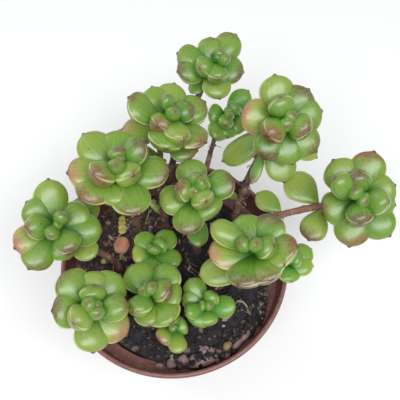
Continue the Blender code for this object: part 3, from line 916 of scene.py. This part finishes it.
def make_stem_leaf(row, material):
    shoot = next(item for item in SHOOTS if item.name == row.shoot)
    place, direction = path_point(stem_path(shoot), row.along)
    tip = Vector(row.tip)
    outward = tip - place
    outward = (outward - outward.dot(direction) * direction).normalized()
    root = place + LEAF_SEAT * stem_radius(shoot, row.along) * outward
    thickness = STEM_LEAF_THICKNESS * row.width
    heap = Heap()
    add_leaf(heap, Leaf(root, tip, Vector((0, 0, 1)), row.width, thickness, 1.0, LOOKS[row.look], 1.0))
    name = f"stem_leaf_{row.shoot}_{row.name}"
    return heap.build(name, material, [f"shoot_{row.shoot}_{row.name}"])


# Soil

def body_radius(height):
    """The inside radius of the pot's tapered body, below its ledge."""
    inside_top = RIM_RADIUS - LIP_THICKNESS - COLLAR_TAPER - LEDGE_WIDTH
    inside_foot = FOOT_RADIUS - WALL
    return inside_foot + (inside_top - inside_foot) * height / LEDGE


def soil_radius(height):
    """The radius of the soil at a height, a little short of the pot's wall."""
    return body_radius(height) - SOIL_SIDE_GAP


def soil_height(x, y):
    """The lumpy top of the soil, level at its edge."""
    reach = min(1.0, math.hypot(x, y) / body_radius(SOIL_TOP))
    calm = 1.0 - reach ** 4
    turn = 2 * math.pi
    lumps = math.sin(turn * x / LUMP_LENGTH_X + LUMP_SHIFT) * math.cos(turn * y / LUMP_LENGTH_Y)
    ripples = math.sin(turn * (x - y) / RIPPLE_LENGTH)
    return SOIL_TOP + LUMP_HEIGHT * calm * (lumps + RIPPLE_SHARE * ripples)


def noise_place(x, y, lumps):
    return Vector((x / lumps.length, y / lumps.length, lumps.layer))


def crumbly(x, y):
    """The soil's top with its crumbs and pits."""
    fine = noise.fractal(noise_place(x, y, FINE_LUMPS), *FINE_OCTAVES)
    coarse = noise.noise(noise_place(x, y, COARSE_LUMPS))
    return soil_height(x, y) + FINE_LUMPS.height * fine + COARSE_LUMPS.height * coarse


def spill_share(x, y):
    """How much of the mix has spilt at a bearing, from 0 to 1."""
    bearing = math.degrees(math.atan2(y, x)) % 360
    inward = max(min(bearing - bank.start, bank.end - bearing) for bank in BANKS) / SPILL_FADE
    share = clamp(inward)
    return share * share * (3 - 2 * share)


def bed_height(reach):
    """What the spilt mix lies on: the soil, and the pot's ledge beyond it."""
    edge = soil_radius(SOIL_TOP)
    corner = body_radius(LEDGE) + WALL / 2
    return SOIL_TOP + (LEDGE - SOIL_TOP) * clamp((reach - edge) / (corner - edge))


def spill_edge(x, y):
    """How far out the spilt mix reaches at a bearing: past the soil's own edge, and unevenly."""
    edge = soil_radius(SOIL_TOP)
    uneven = EDGE_SHARE + EDGE_WAVE * noise.noise(Vector((x, y, 0)).normalized() * EDGE_WAVES)
    return edge + (SPILL_OUTSIDE - edge) * spill_share(x, y) * min(1.0, uneven)


def spill_height(x, y):
    """The top of the spilt mix, which thins out over the ledge and at both ends."""
    reach = math.hypot(x, y)
    across = clamp((reach - SPILL_INSIDE) / (spill_edge(x, y) - SPILL_INSIDE))
    profile = min(1.0, 4 * across) * (1 - across ** 3)
    uneven = 1 + SPILL_LUMPS.height * noise.noise(noise_place(x, y, SPILL_LUMPS))
    return bed_height(reach) + SPILL_HEIGHT * spill_share(x, y) * profile * uneven


def ground(x, y):
    """The top of whatever lies at a place: the soil, the spilt mix or the bare ledge."""
    if math.hypot(x, y) < SPILL_INSIDE:
        return crumbly(x, y)
    return max(spill_height(x, y), bed_height(math.hypot(x, y)))


def dryness(x, y):
    """How dry and brown the mix is at a place, from 0 to 1: most where the litter lies."""
    return math.exp(-(math.dist((x, y), DRY_PLACE) / DRY_REACH) ** 2)


def make_spill(bank, material):
    """A bank of mix on the ledge, a closed strip with its thin edges on the pot."""
    points = []
    for bearing in np.radians(np.linspace(bank.start, bank.end, SPILL_STEPS)):
        radii = np.linspace(SPILL_INSIDE, spill_edge(*around(bearing)), SPILL_ROWS)
        over = [around(bearing, reach) for reach in radii]
        points += [(x, y, spill_height(x, y) + SPILL_OVER) for x, y in over]
        points += [(x, y, bed_height(math.hypot(x, y)) + SPILL_UNDER) for x, y in reversed(over)]
    count = 2 * SPILL_ROWS
    points += [np.mean(points[:count], axis=0), np.mean(points[-count:], axis=0)]
    return build_soil(f"soil_spill_{bank.name}", points, tube_faces(SPILL_STEPS, count), material)


def build_soil(name, points, faces, material, replaced=()):
    heap = Heap()
    dry = [dryness(x, y) for x, y, _ in points]
    heap.add(points, faces, light=0.0, dry=dry)
    return heap.build(name, material, replaced)


def make_soil(material):
    angles = even_turn(SOIL_STEPS)
    low = FLOOR_THICKNESS + GAP
    points = circle(soil_radius(low), angles, low)
    for radius in soil_radius(SOIL_TOP) * np.arange(SOIL_RINGS, 0, -1) / SOIL_RINGS:
        points += [(x, y, crumbly(x, y)) for x, y, _ in circle(radius, angles)]
    points += [(0.0, 0.0, low), (0.0, 0.0, crumbly(0.0, 0.0))]
    return build_soil("soil_bed", points, tube_faces(SOIL_RINGS + 1, SOIL_STEPS), material, ["soil"])


def circle(radius, angles, height=0.0):
    return [(*around(angle, radius), height) for angle in angles]


def icosphere(level):
    """Points and faces of a sphere of one unit, as even triangles."""
    ball = bmesh.new()
    bmesh.ops.create_icosphere(ball, subdivisions=level + 1, radius=1.0)
    ball.verts.index_update()
    points = np.array([vert.co for vert in ball.verts])
    faces = [tuple(vert.index for vert in face.verts) for face in ball.faces]
    ball.free()
    return points, faces


def scattered(count, reach):
    """Seeded places over a disc."""
    radii = reach * np.sqrt(rng.uniform(0, 1, count))
    turns = rng.uniform(0, 2 * math.pi, count)
    return np.stack([radii * np.cos(turns), radii * np.sin(turns)], axis=1)


def random_turn():
    angles = rng.uniform(0, 2 * math.pi, 3)
    turn = Matrix.Rotation(angles[0], 3, "X") @ Matrix.Rotation(angles[1], 3, "Y")
    return np.array(turn @ Matrix.Rotation(angles[2], 3, "Z"))


def flat_turn(bearing, tilt):
    """A turn about the upright, after a small random tilt."""
    tilts = rng.uniform(-tilt, tilt, 2)
    turn = Matrix.Rotation(math.radians(bearing), 3, "Z") @ Matrix.Rotation(tilts[0], 3, "X")
    return np.array(turn @ Matrix.Rotation(tilts[1], 3, "Y"))


def add_chunk(heap, shape, x, y, sizes, turn, sink, **fields):
    """An angular lump that sits in what it lies on."""
    ball, faces = shape
    uneven = 1 + rng.uniform(-CHUNK_UNEVENNESS, CHUNK_UNEVENNESS, (len(ball), 1))
    points = ball * uneven * np.asarray(sizes) @ turn.T
    rest_on_ground(heap, points, faces, (x, y), sink, **fields)


def rest_on_ground(heap, points, faces, place, sink, **fields):
    """Add a shape at a place, with its lowest point sunk into the ground."""
    rest = ground(*place) - points[:, 2].min() - sink
    heap.add(points + (*place, rest), faces, **fields)


def spill_places(bank):
    """Seeded places over a bank of spilt mix, thinner towards both of its ends."""
    bearings = np.radians(rng.uniform(bank.start, bank.end, SPILL_CRUMBS))
    radii = rng.uniform(SPILL_INSIDE, SPILL_OUTSIDE - SPILL_CRUMB_EDGE, SPILL_CRUMBS)
    chances = rng.uniform(0, 1, SPILL_CRUMBS)
    for bearing, reach, chance in zip(bearings, radii, chances):
        x, y = around(bearing, reach)
        if spill_share(x, y) > chance and reach < spill_edge(x, y):
            yield x, y


def crumb_light(x, y):
    """The share of paler crumbs: most at the back, where the litter is, and near the rim."""
    rim = clamp((math.hypot(x, y) - PALE_INSIDE) / PALE_RISE)
    return PALE_LEAST + (1 - PALE_LEAST) * max(dryness(x, y), rim ** 2)


def make_crumbs(material):
    """Crumbs of peat and bark over the whole top of the soil."""
    heap = Heap()
    coarse = icosphere(0)
    fine = icosphere(1)
    spilt = [place for bank in BANKS for place in spill_places(bank)]
    for x, y in [*scattered(CRUMBS, soil_radius(SOIL_TOP) - CRUMB_EDGE), *spilt]:
        size = CRUMB_LEAST + CRUMB_SPREAD * rng.uniform(0, 1) ** 3
        sizes = size * rng.uniform(*CRUMB_STRETCH, 3)
        shape = fine if size > CRUMB_FINE else coarse
        light = rng.uniform(0, 1) * (1.0 if rng.uniform(0, 1) < crumb_light(x, y) else CRUMB_DULL)
        sink = CRUMB_SINK * size
        add_chunk(heap, shape, x, y, sizes, random_turn(), sink, light=light, dry=dryness(x, y))
    return heap.build("soil_crumbs", material, smooth=False)


def chipped(ball):
    """A ball of one unit with flat faces knocked off it."""
    points = ball.copy()
    for _ in range(CHIP_FACES):
        outward = rng.normal(0, 1, 3)
        outward /= np.linalg.norm(outward)
        over = np.maximum(0.0, points @ outward - rng.uniform(*CHIP_DEPTHS))
        points -= over[:, None] * outward
    return points


def noise_shifts(points, length):
    """A smooth random shift for each point, over lumps of a length."""
    return np.array([noise.noise_vector(Vector(point) / length) for point in points])


def make_chips(material):
    """The stones and pale flakes that show at the edge of the mix."""
    heap = Heap()
    ball, faces = icosphere(3)
    for chip in CHIPS:
        points = chipped(ball) * (np.array(chip.sizes) / 2) * CHIP_REGROWTH
        points = points + CHIP_DENTS * noise_shifts(points, CHIP_DENT_LENGTH)
        points = points @ flat_turn(chip.bearing, CHIP_TILT).T
        sink = CHIP_SINK * chip.sizes[2]
        rest_on_ground(heap, points, faces, chip.place, sink, pale=chip.pale, yellow=chip.yellow)
    return heap.build("stone_chips", material)


def add_thread(heap, path, radius, **fields):
    """A thin root or fibre through points, thinner to both ends."""
    share = np.linspace(0, 1, len(path))
    radii = radius * (THREAD_END + (1 - THREAD_END) * np.sin(math.pi * share))
    points, faces = tube([Vector(point) for point in path], radii, THREAD_STEPS)
    heap.add(points, faces, **fields)


def resting_path(places, radius, lift):
    """A smooth line over the ground through places, raised a little in its middle."""
    corners = np.array(places, float)
    marks = np.arange(len(corners))
    fine = np.linspace(0, len(corners) - 1, THREAD_STRETCHES * (len(corners) - 1) + 1)
    x = np.interp(fine, marks, corners[:, 0])
    y = np.interp(fine, marks, corners[:, 1])
    smooth = np.array([0.25, 0.5, 0.25])
    for _ in range(SMOOTHINGS):
        x[1:-1] = np.convolve(x, smooth, "valid")
        y[1:-1] = np.convolve(y, smooth, "valid")
    hump = lift * np.sin(math.pi * fine / fine[-1])
    return [(a, b, ground(a, b) + radius + rise) for a, b, rise in zip(x, y, hump)]


def wandering(x, y, length):
    """Places along a short line that curls as it goes."""
    bearing = rng.uniform(0, 2 * math.pi)
    curl = rng.normal(0, THREAD_CURL)
    places = [(x, y)]
    for _ in range(THREAD_BENDS):
        x += length / THREAD_BENDS * math.cos(bearing)
        y += length / THREAD_BENDS * math.sin(bearing)
        bearing += curl
        places.append((x, y))
    return places


def inside_soil(x, y):
    """Whether a place is on the soil, or on a bank of mix that is deep enough to hide the ledge."""
    reach = math.hypot(x, y)
    return reach < SPILL_INSIDE or (reach < DEEP_OUTSIDE and spill_share(x, y) > DEEP_SHARE)


def litter_places(thick, stray):
    """Seeded places of litter: the thick patch at the back, and strays over the rest."""
    patch = np.array(LITTER_PLACE) + rng.normal(0, 1, (thick, 2)) * LITTER_SPREAD
    strays = scattered(stray, SPILL_INSIDE - STRAY_EDGE)
    return [place for place in [*patch, *strays] if inside_soil(*place)]


def make_litter(material):
    """Dead threads and papery flakes over the soil."""
    heap = Heap()
    for row in THREADS:
        add_thread(heap, resting_path(row.places, row.radius, THREAD_LIFT), row.radius, light=THREAD_LIGHT)
    for x, y in litter_places(LITTER_THREADS, STRAY_THREADS):
        radius = rng.uniform(*LITTER_RADII)
        places = wandering(x, y, rng.uniform(*LITTER_LENGTHS))
        light = rng.uniform(0, 1)
        lift = rng.uniform(*LITTER_LIFTS)
        if all(inside_soil(*place) for place in places):
            add_thread(heap, resting_path(places, radius, lift), radius, light=light)
    shape = icosphere(1)
    for x, y in litter_places(LITTER_FLAKES, STRAY_FLAKES):
        sizes = [rng.uniform(*limits) for limits in FLAKE_SIZES]
        turn = flat_turn(rng.uniform(0, 360), FLAKE_TILT)
        add_chunk(heap, shape, x, y, sizes, turn, -FLAKE_LIFT, light=rng.uniform(0, 1))
    return heap.build("dead_litter", material)


# Roots in the air and papery scales on the stems

def stem_side(shoot, stretch):
    """A seeded point just under a stem's bark, and the direction straight out of it."""
    along = rng.uniform(*stretch)
    bearing = rng.uniform(0, 2 * math.pi)
    place, direction = path_point(stem_path(shoot), along)
    first = direction.orthogonal().normalized()
    second = direction.cross(first)
    across, up = around(bearing)
    outward = across * first + up * second
    return place + TRIM_SEAT * stem_radius(shoot, along) * outward, outward


def add_air_root(heap, shoot, stretch, radius, light):
    """A root that leaves the stem somewhere along a stretch of it, and droops."""
    start, outward = stem_side(shoot, stretch)
    length = rng.uniform(*ROOT_LENGTHS)
    droop = rng.uniform(*ROOT_DROOPS)
    sideways = outward.cross(Vector((0, 0, 1))) * rng.uniform(-ROOT_SWAY, ROOT_SWAY)
    path = []
    for t in np.linspace(0, 1, ROOT_POINTS):
        reach = outward * (t - ROOT_BEND * t * t) + sideways * t * t - Vector((0, 0, droop * t * t))
        path.append(start + length * reach)
    add_thread(heap, path, radius, light=light)


def add_scale(heap, shape, shoot, stretch, size, light):
    """A dry scale that stands out from the stem, where a leaf has been."""
    start, outward = stem_side(shoot, stretch)
    points, faces = shape
    sizes = size * np.array([rng.uniform(*limits) for limits in SCALE_SIZES])
    across = outward.orthogonal().normalized()
    turn = np.array(Matrix((outward, across, outward.cross(across))).transposed())
    centre = np.array(start + SCALE_REACH * outward)
    heap.add(points * sizes @ turn.T + centre, faces, light=light)


def make_stem_trim(material):
    """Aerial roots that droop from the stems, and the dry scales that old leaves leave behind."""
    heap = Heap()
    ball = icosphere(1)
    for shoot in SHOOTS:
        for trim in TRIMS if shoot.name in WITHERED else TRIMS[:1]:
            for _ in range(trim.roots):
                light = rng.uniform(*trim.root_light)
                add_air_root(heap, shoot, trim.root_stretch, trim.root_radius, light)
            for _ in range(trim.scales):
                light = rng.uniform(*trim.scale_light)
                add_scale(heap, ball, shoot, trim.scale_stretch, trim.scale_size, light)
    return heap.build("stem_roots_and_scales", material)


# Fallen leaves

def round_outline(u):
    return np.sqrt(np.clip(1 - (2 * u - 1) ** 2, 0, 1)) ** 0.85


def beaded_outline(u):
    """Four joined lumps, smaller to the far end."""
    beads = 0.62 + 0.38 * np.abs(np.sin(4 * math.pi * u)) ** 0.6
    return beads * round_outline(u) ** 0.6 * (1 - 0.25 * u)


FALLEN_SHAPES = {
    "fallen_leaf_pink": (round_outline, 0.22),
    "fallen_leaf_yellow": (beaded_outline, 0.10),
    "fallen_bud": (round_outline, 0.12),
}


def make_fallen(row, material):
    """A dropped leaf that has shrivelled, where its solid lies."""
    outline, wrinkle = FALLEN_SHAPES[row.name]
    low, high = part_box(row.name)
    level = (low[2] + high[2]) / 2 / MM
    root = np.array((*row.root, level))
    along = np.array((*row.tip, level)) - root
    side = np.cross((0, 0, 1), along) / np.linalg.norm(along)
    u = (1 - np.cos(math.pi * np.arange(1, POD_RINGS + 1) / (POD_RINGS + 1))) / 2
    angles = even_turn(POD_STEPS)
    across = row.width / 2 * outline(u)[:, None] * np.cos(angles)
    lift = row.thickness / 2 * outline(u)[:, None] * np.sin(angles)
    points = root + u[:, None, None] * along + across[..., None] * side
    points = (points + lift[..., None] * np.array((0, 0, 1))).reshape(-1, 3)
    points = points + wrinkle * noise_shifts(points, WRINKLE_LENGTH)
    heap = Heap()
    heap.add(
        np.vstack([points, root, root + along]), tube_faces(POD_RINGS, POD_STEPS),
        rim=spread(np.abs(np.cos(angles)), across.shape, (1.0, 1.0)),
    )
    return heap.build(f"dry_{row.name}", material, [row.name])


# The pot

def pot_profile():
    """The pot's outline as (radius, height), from the floor's middle inside, over the lip, to the foot.

    Offsets of about a millimetre and less round off its corners.
    """
    middle = RIM_RADIUS - LIP_THICKNESS / 2
    radius = LIP_THICKNESS / 2
    collar_top = middle + WALL / 2
    collar_low = collar_top - COLLAR_TAPER
    floor = body_radius(FLOOR_THICKNESS)
    body = body_radius(LEDGE)
    below = LEDGE - WALL
    profile = [
        (0.0, FLOOR_THICKNESS),
        (floor - 1.0, FLOOR_THICKNESS),
        (floor - 0.3, FLOOR_THICKNESS + 0.3),
        (body_radius(FLOOR_THICKNESS + 1.0), FLOOR_THICKNESS + 1.0),
        (body_radius(below), below),
        (body + 0.15, LEDGE - 0.35),
        (body + WALL / 2, LEDGE),
        (collar_low - WALL - 0.5, LEDGE),
        (collar_low - WALL - 0.1, LEDGE + 0.15),
        (collar_low - WALL, LEDGE + 0.6),
        (collar_top - WALL, POT_HEIGHT - LIP_THICKNESS),
    ]
    for index in range(LIP_POINTS + 1):
        across, up = around(math.radians(LIP_START - index * LIP_TURN / LIP_POINTS), radius)
        profile.append((middle + across, POT_HEIGHT - radius + up))
    return profile + [
        (collar_top, POT_HEIGHT - LIP_THICKNESS - 0.2),
        (collar_low, below + 0.5),
        (collar_low - 0.15, below + 0.1),
        (collar_low - 0.6, below),
        (body + WALL + 0.8, below - 0.65),
        (body + WALL, below - WALL),
        (FOOT_RADIUS + 0.3, 1.2),
        (FOOT_RADIUS - 0.1, 0.3),
        (FOOT_RADIUS - 0.7, 0.0),
        (0.0, 0.0),
    ]


def make_pot(material):
    floor, *turned, foot = pot_profile()
    angles = even_turn(POT_STEPS)
    points = [point for radius, height in turned for point in circle(radius, angles, height)]
    points += [(0.0, 0.0, floor[1]), (0.0, 0.0, foot[1])]
    heap = Heap()
    heap.add(points, tube_faces(len(turned), POT_STEPS))
    drill_drains(heap.build("nursery_pot", material, ["pot"]))


def drill_drains(pot):
    """Cut the drain holes through the foot."""
    heap = Heap()
    for x, y, _ in circle(DRAIN_CIRCLE, even_turn(DRAIN_COUNT) + math.pi / DRAIN_COUNT):
        path = [Vector((x, y, -FLOOR_THICKNESS)), Vector((x, y, 2 * FLOOR_THICKNESS))]
        heap.add(*tube(path, [DRAIN_RADIUS, DRAIN_RADIUS], DRAIN_STEPS))
    drills = heap.item("drains")
    pot.modifiers.new("drains", "BOOLEAN").object = drills
    graph = bpy.context.evaluated_depsgraph_get()
    mesh = bpy.data.meshes.new_from_object(pot.evaluated_get(graph))
    pot.modifiers.clear()
    pot.data = mesh
    mesh.shade_smooth()
    mesh.set_sharp_from_angle(angle=math.radians(SHARP_ANGLE))
    bpy.data.objects.remove(drills, do_unlink=True)


# Materials

def leaf_material(name, inner, outer):
    """Waxy skin: green at the root with painted shade deepening it there, yellower to the tip, a pale
    painted rim light along its margins, and an end that browns with age.
    """
    skin = Shader(name)
    along = skin.field("along")
    age = skin.field("age")
    side = skin.field("side")
    mottle = skin.noise(950.0, 4.0, 0.65)
    grain = skin.noise(1400.0, 3.0)
    lines = skin.streaks(side, skin.times(along, 1.5), 9.0)
    reach = skin.add(along, skin.span(skin.noise(110.0, 3.0), -0.22, 0.22))
    skin.colour = skin.mix(age, inner, outer)
    skin.stain("olive", reach, 0.3, 1.0, 0.5)
    turn_yellow(skin, reach, side)
    brown_end(skin, reach, side, mottle)
    spots = skin.times(skin.step(skin.cells(380.0), 0.20, 0.09), skin.step(skin.noise(160.0), 0.50, 0.60))
    skin.tint("spot", spots, 0.75)
    skin.stain("pore", skin.cells(1500.0), 0.30, 0.12, 0.22)
    skin.stain("pale line", lines, 0.50, 0.72, 0.24)
    skin.stain("dark line", lines, 0.46, 0.30, 0.22)
    skin.stain("bloom", grain, 0.45, 0.75, 0.25)
    # Painted rim light: a pale line along the thin edge of each leaf, as if lit through it, weaker on young
    # leaves.
    rim_light = skin.times(skin.step(skin.field("edge"), 0.3, 0.9), skin.step(along, 0.1, 0.4))
    skin.tint("rim_light", skin.times(rim_light, skin.span(skin.step(age, 0.1, 0.8), 0.08, 0.8)))
    # Painted shade: the leaf darkens to a deep green towards its root, where the leaves crowd together;
    # single stem leaves get none of it.
    root_shade = skin.times(skin.step(along, 0.62, 0.05), skin.span(skin.field("lone"), 0.8, 0.0))
    skin.tint("root_shade", root_shade)
    skin.tint("bud tip", skin.times(skin.step(along, 0.90, 0.99), skin.span(age, 0.75, 0.0)))
    skin.tint("point", skin.times(skin.step(along, 0.988, 0.999), skin.span(age, 0.4, 1.0)))
    swells = skin.add(skin.noise(260.0, 2.0), skin.times(lines, 0.35))
    skin.bump(skin.add(swells, skin.times(grain, 0.08)), 0.30, 0.7)
    return skin.finish(
        Roughness=0.42, Specular_IOR_Level=0.5, Coat_Weight=0.6, Coat_Roughness=0.25,
        Subsurface_Weight=0.3, Subsurface_Scale=0.0012, Subsurface_Radius=(0.6, 1.0, 0.25),
    )


def turn_yellow(skin, reach, side):
    """Yellow a leaf towards its tip, by its field, and blush the yellowest ones at the end and sides."""
    yellow = skin.field("yellow")
    orange = skin.step(yellow, 0.85, 1.0)
    turned = skin.times(yellow, skin.span(skin.step(reach, 0.1, 0.8), 0.45, 0.95))
    skin.tint("yellowed", skin.times(turned, skin.span(orange, 1.0, 0.65)))
    outer = skin.math("MAXIMUM", reach, skin.math("ABSOLUTE", side))
    skin.tint("peach", skin.times(orange, skin.step(outer, 0.66, 1.02)))


def brown_end(skin, reach, side, mottle):
    """Brown the end of a leaf, from further down the more its field says, with a ragged start."""
    brown = skin.field("brown")
    start = skin.math("SUBTRACT", 1.0, skin.times(brown, 0.42))
    streaks = skin.span(skin.noise(420.0, 3.0, 0.6), -0.12, 0.12)
    ragged = skin.add(skin.times(side, 0.10), skin.span(mottle, -0.13, 0.17))
    ragged = skin.add(skin.add(reach, streaks), ragged)
    browned = skin.step(skin.math("SUBTRACT", ragged, start), 0.0, 0.36)
    ripe = skin.mix(skin.field("red"), "browned leaf", "reddened leaf")
    ripe = skin.mix(skin.times(skin.step(mottle, 0.48, 0.62), 0.7), ripe, "dark speck")
    strength = skin.span(skin.step(brown, 0.0, 0.6), 0.0, 0.85)
    skin.tint(ripe, skin.times(browned, strength))


def stem_material():
    wood = Shader("stem_bark")
    bark = wood.noise(700.0, 4.0, 0.65)
    wood.colour = wood.mix(wood.step(wood.noise(180.0, 2.0), 0.35, 0.65), "dark bark", "bark")
    wood.stain("bark flake", bark, 0.45, 0.75, 0.7)
    wood.tint("tan bark", wood.field("tan"), 0.5)
    wood.stain("green bark", wood.field("along"), 0.72, 1.0, 0.85)
    wood.tint("scar", wood.field("scar"), 0.45)
    wood.bump(bark, 0.25)
    return wood.finish(Roughness=0.75)


def soil_material():
    soil = Shader("potting_mix")
    light = soil.field("light")
    grit = soil.noise(900.0, 4.0, 0.7)
    patches = soil.noise(120.0, 2.0)
    wet = soil.mix(patches, "wet mix", "pale wet mix")
    dry = soil.mix(patches, "dry mix", "pale dry mix")
    soil.colour = soil.mix(soil.field("dry"), wet, dry)
    soil.stain("brown crumb", light, 0.50, 0.60)
    soil.stain("olive crumb", light, 0.80, 0.84)
    soil.stain("white crumb", light, 0.95, 0.97)
    soil.stain("grit", grit, 0.6, 0.8, 0.5)
    soil.bump(grit, 0.3)
    return soil.finish(Roughness=0.8)


def chip_material():
    stone = Shader("stone_chip")
    grit = stone.noise(1500.0, 4.0, 0.65)
    stone.colour = stone.mix(stone.field("pale"), "dark stone", "pale stone")
    stone.tint("yellow stone", stone.field("yellow"))
    stone.stain("stone cloud", stone.noise(350.0, 3.0), 0.45, 0.7, 0.5)
    stone.stain("stone dust", grit, 0.55, 0.75, 0.4)
    stone.bump(grit, 0.15)
    return stone.finish(Roughness=0.6)


def litter_material():
    straw = Shader("dead_litter")
    grain = straw.noise(1200.0, 3.0, 0.6)
    light = straw.field("light")
    straw.colour = straw.mix(straw.step(light, 0.2, 0.6), "rotten litter", "brown litter")
    straw.stain("pale litter", light, 0.75, 0.95)
    straw.stain("litter grain", grain, 0.5, 0.75, 0.5)
    straw.bump(grain, 0.1)
    return straw.finish(Roughness=0.75)


def pot_material():
    """Red-brown plastic, with dust that settles where it faces up."""
    plastic = Shader("red_brown_plastic")
    dust = plastic.noise(500.0, 5.0, 0.7)
    upward = plastic.node("SeparateXYZ", inputs={"Vector": plastic.normal}).outputs["Z"]
    settling = plastic.span(plastic.step(upward, 0.7, 1.0), 0.15, 0.45)
    plastic.colour = plastic.mix(plastic.noise(60.0, 3.0), "dark plastic", "pale plastic")
    plastic.tint("pot dust", plastic.times(plastic.step(dust, 0.35, 0.75), settling))
    plastic.bump(dust, 0.05)
    return plastic.finish(Roughness=plastic.span(dust, 0.3, 0.5), Coat_Weight=0.15)


def dry_material(kind):
    """A shrivelled leaf: darker in its folds, where shade is painted in, and paler at its rim."""
    leaf = Shader(f"dry_{kind}")
    dark = f"dark {kind}"
    folds = leaf.noise(900.0, 4.0, 0.6)
    leaf.colour = leaf.mix(leaf.step(leaf.noise(260.0, 2.0), 0.35, 0.65), dark, f"light {kind}")
    leaf.stain(f"rim {kind}", leaf.field("rim"), 0.8, 1.0, 0.7)
    # Painted shade in the folds: darker where the noise that raises its bumps is high.
    leaf.stain(dark, folds, 0.55, 0.75, 0.4)
    leaf.bump(folds, 0.2)
    return leaf.finish(Roughness=0.55, Subsurface_Weight=0.2, Subsurface_Scale=0.001)


# The stage

def make_floor():
    mesh = bpy.data.meshes.new("floor")
    corners = [(x * FLOOR_HALF, y * FLOOR_HALF, 0) for x, y in ((-1, -1), (1, -1), (1, 1), (-1, 1))]
    mesh.from_pydata(corners, [], [(0, 1, 2, 3)])
    mesh.materials.append(Shader("pale_floor", "floor").finish(Roughness=0.9))
    floor = bpy.data.objects.new("floor", mesh)
    bpy.context.scene.collection.objects.link(floor)


def add_area_light(row):
    light = bpy.data.lights.new(row.name, "AREA")
    light.shape = "RECTANGLE"
    light.size, light.size_y = row.size
    light.energy = row.power
    light.color = row.colour
    item = bpy.data.objects.new(row.name, light)
    item.location = row.place
    towards = Vector(LIT_PLACE) - Vector(row.place)
    item.rotation_euler = towards.to_track_quat("-Z", "Y").to_euler()
    bpy.context.scene.collection.objects.link(item)


def make_light():
    world = bpy.data.worlds.new("studio")
    world.use_nodes = True
    background = world.node_tree.nodes["Background"]
    background.inputs["Color"].default_value = (1.0, 1.0, 1.0, 1.0)
    background.inputs["Strength"].default_value = WORLD_STRENGTH
    bpy.context.scene.world = world
    for row in LIGHTS:
        add_area_light(row)


def make_camera():
    data = bpy.data.cameras.new("camera")
    data.sensor_width = SENSOR
    data.lens = CAMERA_LENS
    data.clip_start = CLIP_START
    camera = bpy.data.objects.new("camera", data)
    right = Vector(CAMERA_RIGHT)
    up = Vector(CAMERA_UP)
    turn = Matrix((right, up, right.cross(up))).transposed().to_4x4()
    camera.matrix_world = Matrix.Translation(Vector(CAMERA_PLACE) * MM) @ turn
    bpy.context.scene.collection.objects.link(camera)
    bpy.context.scene.camera = camera


def main():
    bpy.context.scene.view_settings.view_transform = "Standard"
    make_camera()
    make_light()
    make_floor()
    leaf = leaf_material("leaf_skin", "inner leaf", "outer leaf")
    young = leaf_material("young_skin", "inner young leaf", "outer young leaf")
    bark = stem_material()
    for shoot in SHOOTS:
        is_young = shoot.leaf < YOUNG_SHOOT_LEAF
        make_head(shoot, young if is_young else leaf)
        make_stem(shoot, bark)
    for row in STEM_LEAVES:
        make_stem_leaf(row, leaf)
    mix = soil_material()
    make_soil(mix)
    for bank in BANKS:
        make_spill(bank, mix)
    make_crumbs(mix)
    make_chips(chip_material())
    dead = litter_material()
    make_litter(dead)
    make_stem_trim(dead)
    make_pot(pot_material())
    pink = dry_material("pink")
    yellow = dry_material("yellow")
    for row in FALLEN:
        make_fallen(row, pink if "pink" in row.name else yellow)


main()
